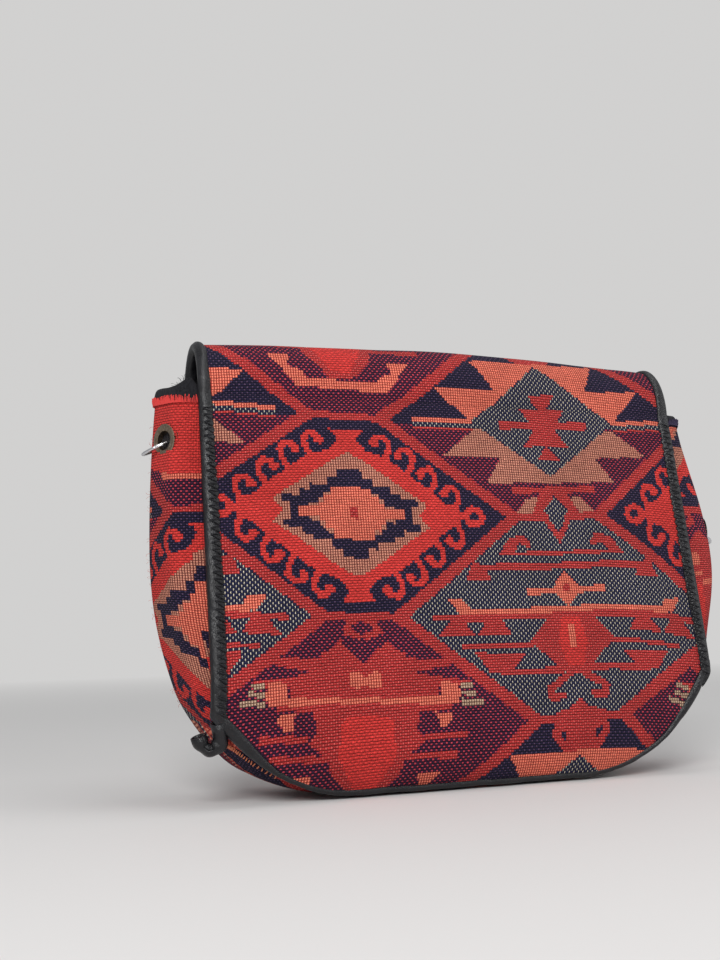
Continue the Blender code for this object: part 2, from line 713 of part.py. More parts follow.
def eyelet_frame(left, front):
    # Frame whose Z axis is the wall's outward normal, a little below the cloth's outer face
    z = EYELET_Z_LEFT if left else EYELET_Z_RIGHT
    fold_u = 12.0 if left else 24.0
    away = (-1.0 if front else 1.0) if left else (1.0 if front else -1.0)
    us = np.linspace(0.0, 3.0, 61)
    fold = body_point(fold_u, z)
    reach = [abs(body_point(fold_u + away * u, z)[1] - fold[1]) for u in us]
    u = fold_u + away * float(np.interp(EYELET_OFF_FOLD, reach, us))
    normal = Vector(body_normal(u, z))
    normal.z = 0.0
    normal.normalize()
    point = Vector(body_point(u, z)) - normal * EYELET_SINK
    turn = normal.to_track_quat("Z", "Y").to_matrix().to_4x4()
    return Matrix.Translation(point) @ turn


def eyelet_profile():
    barrel = EYELET_HOLE + EYELET_BARREL
    seat = CLOTH - EYELET_SINK
    washer = seat + LAYER_GAP + WASHER_WALL
    lip = washer + LAYER_GAP
    return [(EYELET_HOLE, EYELET_DOME * 0.5), ((EYELET_HOLE + EYELET_FLANGE) / 2, EYELET_DOME),
            (EYELET_FLANGE - 0.4 * MM, EYELET_DOME * 0.65), (EYELET_FLANGE, LAYER_GAP), (barrel, LAYER_GAP),
            (barrel, -lip), (barrel + 1.0 * MM, -lip), (barrel + 0.8 * MM, -lip - 0.6 * MM),
            (EYELET_HOLE, -lip - 0.5 * MM)]


def make_eyelets(mats, gussets, lining):
    barrel = EYELET_HOLE + EYELET_BARREL
    seat = CLOTH - EYELET_SINK
    top = seat + LAYER_GAP
    far = 9 * MM
    for left in (True, False):
        side = "left" if left else "right"
        for front in (True, False):
            place = "front" if front else "rear"
            frame = eyelet_frame(left, front)
            turned(f"eyelet_{side}_{place}", eyelet_profile(), frame, mats["eyelet"])
            washer = [(barrel + LAYER_GAP, -top), (WASHER_OUTER, -top), (WASHER_OUTER, -top - WASHER_WALL * 0.6),
                      (WASHER_OUTER - 0.4 * MM, -top - WASHER_WALL), (barrel + LAYER_GAP, -top - WASHER_WALL)]
            turned(f"eyelet_washer_{side}_{place}", washer, frame, mats["eyelet"])
            pocket = EYELET_FLANGE + LAYER_GAP
            hole = barrel + LAYER_GAP
            cutter = turned(f"cut_{side}_{place}", [(0.0, far), (pocket, far), (pocket, 0.0), (hole, 0.0),
                                                   (hole, -seat), (pocket, -seat), (pocket, -far), (0.0, -far)],
                            frame, None, collection="cutters")
            opening = turned(f"opening_{side}_{place}", [(0.0, far), (pocket, far), (pocket, -far), (0.0, -far)],
                             frame, None, collection="cutters")
            cut(gussets[side], [cutter])
            cut(lining, [opening])


def ring_pivot(left):
    front = eyelet_frame(left, True).translation
    rear = eyelet_frame(left, False).translation
    return (front + rear) / 2 - Vector((0, 0, RING_DROP))


def make_rings(mats):
    for left in (True, False):
        side = "left" if left else "right"
        outward = -1.0 if left else 1.0
        pivot = ring_pivot(left)
        front = eyelet_frame(left, True).translation
        half_chord = abs(front.y - pivot.y)
        radius = math.hypot(half_chord, RING_BIAS)
        bpy.ops.mesh.primitive_torus_add(major_segments=24, minor_segments=8, major_radius=radius,
                                         minor_radius=RING_WIRE / 2)
        ring = bpy.context.object
        for collection in list(ring.users_collection):
            collection.objects.unlink(ring)
        ring.name = f"ring_{side}"
        link(ring)
        ring.data.name = ring.name
        ring.data.materials.append(mats["ring"])
        ring.data.shade_smooth()
        ring.data.transform(Matrix.Translation((outward * RING_BIAS, 0, 0)))
        ring.data.transform(Matrix.Rotation(outward * math.radians(RING_DROOP_DEG), 4, "Y"))
        ring.location = pivot


def hide_cutters():
    for cutter in bpy.data.collections["cutters"].objects:
        cutter.hide_render = True
        cutter.display_type = "WIRE"


def main():
    clear_scene()
    mats = {name: material(f"{name}_yarn", colour, 0.9) for name, colour in YARNS.items()}
    mats |= {
        "cloth": material("kilim_cloth", (0.42, 0.06, 0.07), 0.9),
        "lining": material("lining_cloth", (0.02, 0.018, 0.02), 0.8),
        "tape": material("black_tape", (0.015, 0.015, 0.018), 0.85),
        "leather": material("black_leather", (0.02, 0.02, 0.022), 0.45),
        "zip_metal": material("antique_zip_metal", (0.30, 0.25, 0.18), 0.35, 1.0),
        "eyelet": material("antique_brass", (0.26, 0.21, 0.15), 0.4, 1.0),
        "ring": material("steel_wire", (0.62, 0.62, 0.64), 0.25, 1.0),
    }
    _, _, left, right, _, lining = make_pouch(mats)
    make_mouth_binding(mats)
    make_flap(mats)
    make_zip(mats)
    make_eyelets(mats, {"left": left, "right": right}, lining)
    make_rings(mats)
    hide_cutters()


main()
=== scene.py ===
import math
import bpy
import bmesh
import numpy as np
from mathutils import Matrix, Vector


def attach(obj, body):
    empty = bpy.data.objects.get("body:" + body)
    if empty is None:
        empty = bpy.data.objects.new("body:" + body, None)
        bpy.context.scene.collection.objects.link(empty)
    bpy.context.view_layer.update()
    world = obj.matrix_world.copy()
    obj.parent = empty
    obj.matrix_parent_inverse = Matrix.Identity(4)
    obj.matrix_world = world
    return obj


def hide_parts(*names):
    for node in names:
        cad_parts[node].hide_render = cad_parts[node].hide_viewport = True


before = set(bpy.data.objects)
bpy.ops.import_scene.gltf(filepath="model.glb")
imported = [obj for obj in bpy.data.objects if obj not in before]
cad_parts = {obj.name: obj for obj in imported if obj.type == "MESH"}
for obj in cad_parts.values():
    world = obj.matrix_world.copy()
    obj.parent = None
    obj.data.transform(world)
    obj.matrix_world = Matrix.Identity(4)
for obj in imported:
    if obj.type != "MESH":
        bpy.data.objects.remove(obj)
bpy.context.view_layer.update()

mm = 0.001
scene = bpy.context.scene
scene.view_settings.view_transform = "Standard"

# the woven pouch, in metres
pouch = {
    "mouthZ": 0.187, "halfDepth": 0.031, "frontLean": 0.024, "backLean": 0.008, "leanStart": 0.040,
    "leanPower": 1.2, "ridgeHalf": 0.1515, "ridgeZ": 0.115, "ridgeTopTaper": 0.0035, "ridgeLowTaper": 0.019,
    "rightSwell": 0.006, "rightSwellHalf": 0.065, "wing": 0.009, "cornerDepth": 0.93,
    "roundHeight": 0.028, "roundDepth": 0.019, "roundEnd": 0.020, "flatHalf": 0.055, "endX": 0.129,
    "endLiftLeft": 0.026, "endLiftRight": 0.031, "liftPower": 2.4, "liftFade": 0.130,
    "cloth": 0.0018, "lining": 0.0008, "clear": 0.0007, "seamGap": 0.00004, "bottomSeamDeg": 58,
}
flapCut = {
    "half": 0.129, "seamZ": 0.150, "arch": 0.0275, "crown": 0.004, "bow": 0.08, "endDeg": 35,
    "liningFrom": 0.0020, "liningTo": 0.0027, "clothFrom": 0.00315, "clothTo": 0.00495,
    "thread": 1.27 * mm, "swell": 0.5 * mm,
    "cornerLeft": (14 * mm, 0.070, 1.6), "cornerRight": (20 * mm, 0.055, 1.8),
}


def past(value, start, end):
    return np.clip((np.asarray(value, float) - start) / (end - start), 0.0, None)


def bottomInset(z):
    t = np.clip(1.0 - np.asarray(z, float) / pouch["roundHeight"], 0.0, 1.0)
    return 1.0 - np.sqrt(1.0 - t ** 2)


def roundZ(degrees):
    return pouch["roundHeight"] * (1.0 - np.cos(np.radians(degrees)))


def frontY(z):
    lean = pouch["frontLean"] * past(z, pouch["leanStart"], pouch["mouthZ"]) ** pouch["leanPower"]
    return -pouch["halfDepth"] + pouch["roundDepth"] * bottomInset(z) + lean


def backY(z):
    lean = pouch["backLean"] * past(z, pouch["leanStart"], pouch["mouthZ"]) ** pouch["leanPower"]
    return pouch["halfDepth"] - pouch["roundDepth"] * bottomInset(z) - lean


def foldX(z, right):
    z = np.asarray(z, float)
    top = pouch["ridgeTopTaper"] * past(z, pouch["ridgeZ"], pouch["mouthZ"]) ** 2
    low = pouch["ridgeLowTaper"] * past(-z, -pouch["ridgeZ"], 0.0) ** 2
    bulge = np.clip(1.0 - ((z - pouch["ridgeZ"]) / pouch["rightSwellHalf"]) ** 2, 0.0, 1.0) ** 2
    swell = pouch["rightSwell"] * bulge * right
    return pouch["ridgeHalf"] + swell - top - low - pouch["roundEnd"] * bottomInset(z)


def endLift(x, z):
    lift = np.where(np.asarray(x) < 0, pouch["endLiftLeft"], pouch["endLiftRight"])
    side = past(np.abs(x), pouch["flatHalf"], pouch["endX"]) ** pouch["liftPower"]
    return lift * side * past(-np.asarray(z, float), -pouch["liftFade"], 0.0) ** 2


def bodyGrid(us, zs):  # rows of z, columns of u round the section
    zs, us = np.asarray(zs, float), np.asarray(us, float)
    front, back = frontY(zs), backY(zs)
    middle, deep, wing = (front + back) / 2, pouch["cornerDepth"], pouch["wing"]

    def quarter(wall, side):
        fold = foldX(zs, side > 0)
        corner = fold - wing
        shares = [(fold, 0.0), (fold - 0.2 * wing, 0.2 * deep), (fold - 0.6 * wing, 0.6 * deep),
                  (corner, deep), (0.66 * corner, 0.985), (0.33 * corner, 1.0), (0.0 * fold, 1.0)]
        return [(side * x, middle + (wall - middle) * share) for x, share in shares]

    ring = quarter(front, 1) + quarter(front, -1)[-2::-1]
    ring += quarter(back, -1)[1:] + quarter(back, 1)[-2:0:-1]
    points = np.array([[x, y] for x, y in ring])
    step = np.floor(us).astype(int)
    t = us - step
    weights = ((1 - t) ** 3, 3 * t ** 3 - 6 * t ** 2 + 4, -3 * t ** 3 + 3 * t ** 2 + 3 * t + 1, t ** 3)
    xy = sum(points[(step + k - 1) % 24] * w[:, None, None] / 6 for k, w in enumerate(weights))
    x, y = xy[:, 0].T, xy[:, 1].T
    z = zs[:, None] + endLift(x, zs[:, None])
    return np.stack((x, y, z), axis=-1)


def runAlong(line):  # the length from a line's first point to each of its points
    return np.concatenate(([0.0], np.cumsum(np.linalg.norm(np.diff(line, axis=0), axis=1))))


def gridNormals(points, centre, closed=False):
    if closed:
        wide = np.concatenate((points[:, -2:], points, points[:, :2]), axis=1)
        across = np.gradient(wide, axis=1)[:, 2:-2]
    else:
        across = np.gradient(points, axis=1)
    along = np.gradient(points, axis=0)
    normal = np.cross(across, along)
    normal /= np.maximum(np.linalg.norm(normal, axis=2, keepdims=True), 1e-12)
    if ((points - centre) * normal).sum() < 0:
        normal = -normal
    return normal


def flapY(x, z, wall):
    middle = (frontY(z) + backY(z)) / 2
    return middle + (wall(z) - middle) * (1.0 - flapCut["bow"] * (x / flapCut["half"]) ** 4)


def flapPath(x):  # close-set points over the top, from the seam on the back to the end under the belly
    mouth = pouch["mouthZ"]
    rear = [(flapY(x, z, backY), z) for z in np.linspace(flapCut["seamZ"], mouth, 24)]
    behind, ahead = flapY(x, mouth, backY), flapY(x, mouth, frontY)
    arch = flapCut["arch"] - flapCut["crown"] * (x / flapCut["half"]) ** 2
    over = [((behind + ahead) / 2 + (behind - ahead) / 2 * math.cos(a), mouth + arch * math.sin(a))
            for a in np.linspace(0, math.pi, 60)[1:-1]]
    down = [(flapY(x, z, frontY), z) for z in np.linspace(mouth, pouch["roundHeight"], 90)]
    under = [(flapY(x, z, frontY), z) for z in roundZ(np.linspace(90, flapCut["endDeg"], 24)[1:])]
    path = np.array([(float(y), float(z)) for y, z in rear + over + down + under])
    path[:, 1] += endLift(x, path[:, 1])
    return path


def flapPaths(xs):
    found = []
    for x in xs:
        path = flapPath(x)
        run = runAlong(path)
        found.append((path, run - run[np.argmax(path[:, 1])]))
    return found


def cornerRise(x):  # how much sooner the cloth ends towards its rounded corners
    most, start, power = flapCut["cornerLeft" if x < 0 else "cornerRight"]
    return most * float(past(abs(x), start, flapCut["half"])) ** power


# rows of v, columns of x; vs are lengths along the middle of the cloth from the crest, scaled in each column
def flapGrid(xs, vs):
    middle = flapPaths([0.0])[0][1]
    points = np.zeros((len(vs), len(xs), 3))
    for k, (path, run) in enumerate(flapPaths(xs)):
        at = np.where(vs < 0, vs * run[0] / middle[0], vs * (run[-1] - cornerRise(xs[k])) / middle[-1])
        points[:, k, 0] = xs[k]
        points[:, k, 1] = np.interp(at, run, path[:, 0])
        points[:, k, 2] = np.interp(at, run, path[:, 1])
    return points


# the kilim: each zone is its main yarn, its second yarn, how wide and how tall the second shows in a cell,
# and in which cells: 1 all, 2 every other one
yarns = {
    "coral": ((0.72, 0.050, 0.044), (0.40, 0.024, 0.021), 0.30, 0.5, 2),
    "band": ((0.46, 0.034, 0.034), (0.66, 0.10, 0.09), 0.50, 0.7, 2),
    "salmon": ((0.52, 0.060, 0.044), (0.86, 0.22, 0.14), 0.60, 0.95, 1),
    "tan": ((0.26, 0.060, 0.050), (0.60, 0.25, 0.17), 0.62, 0.95, 1),
    "navy": ((0.015, 0.012, 0.036), (0.085, 0.050, 0.100), 0.62, 0.55, 2),
    "purple": ((0.040, 0.011, 0.036), (0.50, 0.050, 0.075), 0.78, 0.55, 2),
    "dashed": ((0.016, 0.017, 0.048), (0.60, 0.54, 0.42), 0.34, 1.0, 2),
    "cream": ((0.24, 0.11, 0.08), (0.50, 0.34, 0.23), 0.66, 0.9, 1),
    "black": ((0.012, 0.011, 0.013), (0.02, 0.02, 0.022), 0.4, 0.8, 1),
}
zoneNames = list(yarns)

# motifs in millimetres from the middle of their cell, right half only: they are mirrored left to right
lattice = {"columnStep": 110.0, "rowStep": 100.0, "apex": 86.0, "flat": 18.5, "bandHalf": 2.9,
           "flatHalf": 1.9, "shift": (-1.0, 4.9), "stretch": 1.010, "bow": 5.4, "rightSag": 9.5}


def box(x0, x1, v0, v1):
    return [(x0, v0), (x1, v0), (x1, v1), (x0, v1)]


hookCurl = [(0, 0), (1.5, 2.5), (5, 3.2), (7.6, 0), (7.2, -4), (4.5, -9)]
medallion = [("navy", "area", box(0, 90, -60, 60)),
             ("coral", "area", [(0, 0), (0, 34), (6, 34), (10, 32), (20, 29), (30, 21.5), (40, 14.5), (48, 7),
                                (56, 4), (56, 0)]),
             ("coral", "area", [(0, 30), (9, 33), (4.5, 38), (8.5, 43), (0, 43)])]
for cx, cv in ((14, 37), (26, 31), (37, 21.5), (48.5, 12)):
    medallion.append(("coral", 3.1, [(cx + x, cv + v) for x, v in hookCurl]))
    medallion.append(("coral", 4.6, [(cx, cv), (cx + 0.2, cv)]))
medallion += [("coral", 4.0, [(53, 0), (58, 0)]),
              ("coral", "area", [(57, 0), (58.5, 4), (63, 6), (68, 4), (70, 0)]),
              ("navy", "area", [(60.5, 0), (62, 2), (65, 2), (66.5, 0)]),
              ("tan", "area", [(0, 0), (0, 31), (8, 27), (28, 13), (39, 6), (34, 0)]),
              ("navy", "area", box(0, 6, 16, 22)), ("navy", "area", box(0, 11, 13, 17.5)),
              ("navy", "area", box(10, 20, 10, 13.8)), ("navy", "area", box(14, 25, 7.6, 11)),
              ("navy", "area", box(17, 34, 4.2, 7.8)), ("navy", "area", box(22, 31, 0, 4.6)),
              ("salmon", "area", box(0, 10.5, 0, 13)), ("salmon", "area", box(0, 14, 0, 8.4)),
              ("salmon", "area", box(0, 17, 0, 5)), ("salmon", "area", box(0, 26.5, 0, 2.6)),
              ("band", "area", box(0, 1.8, 0, 2.6))]
anchorCell = [("purple", "area", box(0, 90, -60, 60)),
              ("band", 3.2, [(0, -50), (6, -47), (8, -43), (2, -41)]),
              ("band", "area", [(0, -28), (11, -39), (14, -36), (20, -33), (20, -30.5), (46, -31), (46, -28),
                                (24, -24), (52, -20), (52, -17), (20, -18), (0, -12)]),
              ("band", "area", [(0, -18), (36, -18), (36, -13), (0, -13)]),
              ("salmon", "area", [(0, -22), (4, -25), (8, -24), (8, -18), (3, -17), (0, -19)]),
              ("salmon", "area", box(0, 46, -13, -9.6)), ("band", "area", box(0, 42, -9.6, -7.4)),
              ("salmon", "area", [(36.5, -19.5), (45, -19.5), (46.5, -16), (46.5, -12), (36.5, -12)]),
              ("salmon", "area", [(33, -6.5), (41, -6.5), (42, -3), (39, 1), (35, 1), (35, -3)]),
              ("cream", "area", box(46.5, 53.5, -19.2, -16.9)),
              ("cream", "area", box(46.5, 55, -15.6, -13.2)),
              ("cream", "area", box(46.5, 58.5, -11.9, -9.3)),
              ("band", "area", [(0, -10.5), (26, -10.5), (24, 2), (28, 6), (20, 12), (10, 20), (0, 20)]),
              ("band", "area", box(28, 50, 3, 6)),
              ("band", "area", [(0, 10), (20, 10), (16, 20), (6, 30), (0, 30)]),
              ("coral", "area", [(0, -6), (12, -4), (14, 12), (5, 27), (0, 27)]),
              ("band", "area", box(18, 44, 11, 14)),
              ("salmon", "area", box(0, 21, 31, 35.5)),
              ("salmon", "area", [(18, 31), (20, 28), (27, 26), (25, 20), (37, 20), (30, 28), (23, 36),
                                  (18, 36)])]
starCell = [("navy", "area", box(0, 90, -60, 2)), ("purple", "area", box(0, 90, 2, 60)),
            ("band", 4.0, [(3, -33), (10, -38), (14, -43), (13, -47), (9, -46)]),
            ("band", "area", box(0, 8, -52, -34)),
            ("salmon", "area", [(0, -35), (38, -35), (27, -19), (61, -19), (43, -2), (0, -2)]),
            ("salmon", "area", box(40, 75, -2.5, 0)), ("dashed", "area", box(38, 75, 0, 2.6)),
            ("band", "area", box(42, 75, 2.6, 3.8)),
            ("tan", "area", [(0, 3), (41, 3), (60, 18.5), (28, 18.5), (37, 32), (0, 32)]),
            ("dashed", "area", [(0, -33), (41, -2), (41, 0), (0, 28.5)]),
            ("band", "area", [(0, -9), (2, -9), (8, -17), (0, -17)]),
            ("band", "area", [(0, -9.5), (14, -9.5), (8, -1), (7, 4), (13, 12), (0, 12)]),
            ("band", "area", box(0, 26, -2, 2.6)), ("band", "area", [(0, 12), (1, 13), (7, 19.5), (0, 19.5)]),
            ("band", "area", box(0, 24, 34, 37.5)), ("tan", "area", [(9, 40), (16, 40), (23, 49), (14, 49)]),
            ("band", "area", [(0, 36), (7, 36), (14, 50), (9, 50), (0, 64)]),
            ("dashed", "area", [(0, 39), (7, 47), (3.5, 51), (5, 53), (0, 58)])]
crossCell = [("dashed", "area", box(0, 90, -60, 60)),
             ("band", "area", [(0, -50), (9, -50), (0, -36)]),
             ("dashed", "area", [(0, -50), (4, -50), (4, -47), (0, -42)]),
             ("band", "area", box(0, 34, -32, -29.8)),
             ("band", "area", [(36, -30), (29, -39), (21, -41), (17, -37), (18, -34), (23, -36), (28, -31)]),
             ("band", "area", box(0, 52, -26, -22.5)),
             ("band", "area", [(50, -28), (55, -18), (41, -18), (44, -24)]),
             ("salmon", "area", [(0, -22), (7, -14), (7, -11), (0, -3)]),
             ("salmon", "area", box(0, 22, -13.5, -10)),
             ("band", "area", box(0, 1.6, -14.5, -11.5)),
             ("salmon", "area", box(0, 58, -3.8, -0.8)),
             ("salmon", "area", [(54, -4), (57, -8), (66, -9), (60, -1)]),
             ("band", "area", box(0, 75, -0.8, 2.2)),
             ("band", "area", [(46, 2), (38, 2), (33, 9), (52, 9)]),
             ("band", "area", [(58, 2), (66, 2), (72, 9), (53, 9)]),
             ("band", "area", [(0, 2), (13, 2), (24, 13), (9, 26), (0, 30)]),
             ("coral", "area", [(0, 2), (5, 2), (8, 14), (4, 28), (0, 30)]),
             ("salmon", "area", box(0, 2.2, 5, 17)),
             ("band", "area", box(22, 61, 13.2, 15.4)),
             ("band", "area", [(28, 19), (54, 17), (47, 27), (36, 28.5), (33, 24)]),
             ("band", "area", box(0, 42, 25.8, 28.8)),
             ("band", 3.6, [(2, 28), (8, 32), (16, 36), (15, 40), (9, 39.5)]),
             ("band", "area", [(0, 41), (6, 46), (14, 47), (14, 50), (0, 50)])]


def inArea(x, v, corners):
    inside = np.zeros(x.shape, bool)
    for (x0, v0), (x1, v1) in zip(corners, corners[1:] + corners[:1]):
        if v0 == v1:
            continue
        crosses = (v0 > v) != (v1 > v)
        inside ^= crosses & (x < (x1 - x0) * (v - v0) / (v1 - v0) + x0)
    return inside


def nearLine(x, v, points, width):
    near = np.zeros(x.shape, bool)
    for (x0, v0), (x1, v1) in zip(points, points[1:]):
        long = max((x1 - x0) ** 2 + (v1 - v0) ** 2, 1e-9)
        t = np.clip(((x - x0) * (x1 - x0) + (v - v0) * (v1 - v0)) / long, 0, 1)
        near |= np.hypot(x - x0 - t * (x1 - x0), v - v0 - t * (v1 - v0)) < width / 2
    return near


def drawCell(zone, inCell, dx, dv, motif):
    x, v = np.abs(dx[inCell]) - 0.01, dv[inCell]
    found = zone[inCell]
    for name, kind, points in motif:
        drawn = inArea(x, v, points) if kind == "area" else nearLine(x, v, points, kind)
        found[drawn] = zoneNames.index(name)
    zone[inCell] = found


def kilim(x, v):
    # the zone at each place of the cloth, x and v in millimetres
    zone = np.zeros(x.shape, int)
    step, row = lattice["columnStep"], lattice["rowStep"]
    slope = (lattice["apex"] - lattice["flat"]) / (row / 2)
    dx1 = (x + 60 + step) % (2 * step) - step
    dv1 = v % row - row * (v % row > row / 2)
    odd1 = np.round(v / row).astype(int) % 2 == 1
    gap = (lattice["apex"] - slope * np.abs(dv1) - np.abs(dx1)) / math.hypot(1, slope)
    first = gap > 0
    dx2 = (x - 50 + step) % (2 * step) - step
    dv2 = v % row - row / 2
    odd2 = np.floor(v / row).astype(int) % 2 == 1
    drawCell(zone, first & odd1, dx1, np.abs(dv1), medallion)
    drawCell(zone, first & ~odd1, dx1, dv1, anchorCell)
    drawCell(zone, ~first & ~odd2, dx2, dv2, starCell)
    drawCell(zone, ~first & odd2, dx2, dv2, crossCell)
    band = np.abs(gap) < lattice["bandHalf"]
    edge1 = row / 2 - np.abs(dv1)
    edge2 = row / 2 - np.abs(dv2)
    band |= first & (edge1 < lattice["flatHalf"]) & (np.abs(dx1) < lattice["flat"] + 3)
    band |= ~first & (edge2 < lattice["flatHalf"]) & (np.abs(dx2) < lattice["flat"] + 6) & (np.abs(dx2) > 8)
    zone[band] = zoneNames.index("band")
    return zone


def clothPiece(name, outer, inner, zone, keep=None):
    # two faces of square cells and the rim round them; every face carries the yarns of its own cell
    rows, columns = outer.shape[:2]
    base = rows * columns
    verts = [outer.reshape(-1, 3), inner.reshape(-1, 3)]
    faces, cells, spots = [], [], []

    def add(face, cell, corners):
        faces.append(face)
        cells.append(cell)
        spots.extend(corners)

    kept = np.ones((rows - 1, columns - 1), bool) if keep is None else keep
    places = [(r, c, r * columns + c) for r, c in np.argwhere(kept).tolist()]
    edges = {}
    for r, c, a in places:
        loop = (a, a + 1, a + columns + 1, a + columns)
        add(loop, (r, c), ((c, r), (c + 1, r), (c + 1, r + 1), (c, r + 1)))
        for p, q in zip(loop, loop[1:] + loop[:1]):
            edges.setdefault((min(p, q), max(p, q)), []).append((p, q, r, c))
    for r, c, a in places:
        a += base
        add((a, a + columns, a + columns + 1, a + 1), (r, c),
            ((c, r), (c, r + 1), (c + 1, r + 1), (c + 1, r)))
    for uses in edges.values():
        if len(uses) == 1:
            p, q, r, c = uses[0]
            add((q, p, base + p, base + q), (r, c), ((c, r),) * 4)
    mesh = bpy.data.meshes.new(name)
    mesh.from_pydata(np.concatenate(verts).tolist(), [], faces)
    mesh.update()
    cells = np.array(cells)
    loops = np.array([len(f) for f in faces])
    which = zone[cells[:, 0], cells[:, 1]]
    table = [yarns[n] for n in zoneNames]
    main = np.array([t[0] for t in table])[which]
    second = np.array([t[1] for t in table])[which]
    width = np.array([t[2] for t in table])[which]
    tall = np.array([t[3] for t in table])[which]
    where = np.array([t[4] for t in table])[which]
    stagger = (cells.sum(axis=1) % 2) == 0
    width = np.where((where == 1) | ((where == 2) & stagger), width, 0.0)
    for attribute, value in (("yarn", main), ("secondYarn", second)):
        layer = mesh.color_attributes.new(attribute, "FLOAT_COLOR", "CORNER")
        rgba = np.concatenate((value, np.ones((len(value), 1))), axis=1)
        layer.data.foreach_set("color", np.repeat(rgba, loops, axis=0).ravel())
    for attribute, value in (("secondWidth", width), ("secondTall", tall)):
        layer = mesh.attributes.new(attribute, "FLOAT", "CORNER")
        layer.data.foreach_set("value", np.repeat(value, loops))
    uv = mesh.uv_layers.new(name="threads")
    uv.data.foreach_set("uv", np.array(spots, float).ravel())
    obj = bpy.data.objects.new(name, mesh)
    scene.collection.objects.link(obj)
    bm = bmesh.new()
    bm.from_mesh(mesh)
    if keep is not None:
        bmesh.ops.delete(bm, geom=[v for v in bm.verts if not v.link_faces], context="VERTS")
    if bm.calc_volume(signed=True) < 0:
        bmesh.ops.reverse_faces(bm, faces=bm.faces)
    bm.to_mesh(mesh)
    bm.free()
    mesh.shade_smooth()
    mesh.set_sharp_from_angle(angle=math.radians(55))
    return obj


# materials
class Wires:
    def __init__(self, name):
        self.material = bpy.data.materials.new(name)
        self.material.use_nodes = True
        self.tree = self.material.node_tree
        self.shader = self.tree.nodes["Principled BSDF"]

    def node(self, kind, **settings):
        made = self.tree.nodes.new("ShaderNode" + kind)
        for key, value in settings.items():
            setattr(made, key, value)
        return made

    def link(self, out, into):
        self.tree.links.new(out, into)

    def put(self, socket, value):
        if isinstance(value, bpy.types.NodeSocket):
            self.link(value, socket)
        else:
            socket.default_value = value

    def maths(self, operation, a, b=0.0, c=0.0):
        made = self.node("Math", operation=operation)
        for socket, value in zip(made.inputs, (a, b, c)):
            self.put(socket, value)
        return made.outputs[0]

    def mix(self, amount, a, b, blend="MIX"):
        made = self.node("Mix", data_type="RGBA", blend_type=blend)
        self.put(made.inputs[0], amount)
        for socket, value in ((made.inputs[6], a), (made.inputs[7], b)):
            self.put(socket, (*value, 1.0) if isinstance(value, tuple) else value)
        return made.outputs[2]

    def noise(self, vector, scale, detail=3.0, roughness=0.5):
        made = self.node("TexNoise")
        self.link(vector, made.inputs["Vector"])
        made.inputs["Scale"].default_value = scale
        made.inputs["Detail"].default_value = detail
        made.inputs["Roughness"].default_value = roughness
        return made.outputs["Fac"]

    def place(self, scale=(1, 1, 1)):
        where = self.node("TexCoord")
        mapping = self.node("Mapping")
        mapping.inputs["Scale"].default_value = scale
        self.link(where.outputs["Object"], mapping.inputs["Vector"])
        return mapping.outputs["Vector"]

    def ramp(self, value, low, high, start, end):
        made = self.node("MapRange", clamp=True)
        for socket, v in zip(made.inputs, (value, start, end, low, high)):
            self.put(socket, v)
        return made.outputs[0]

    def bump(self, height, strength, distance):
        made = self.node("Bump")
        made.inputs["Strength"].default_value = strength
        made.inputs["Distance"].default_value = distance
        self.link(height, made.inputs["Height"])
        self.link(made.outputs["Normal"], self.shader.inputs["Normal"])

    def set(self, **values):
        for key, value in values.items():
            self.put(self.shader.inputs[key.replace("_", " ")], value)


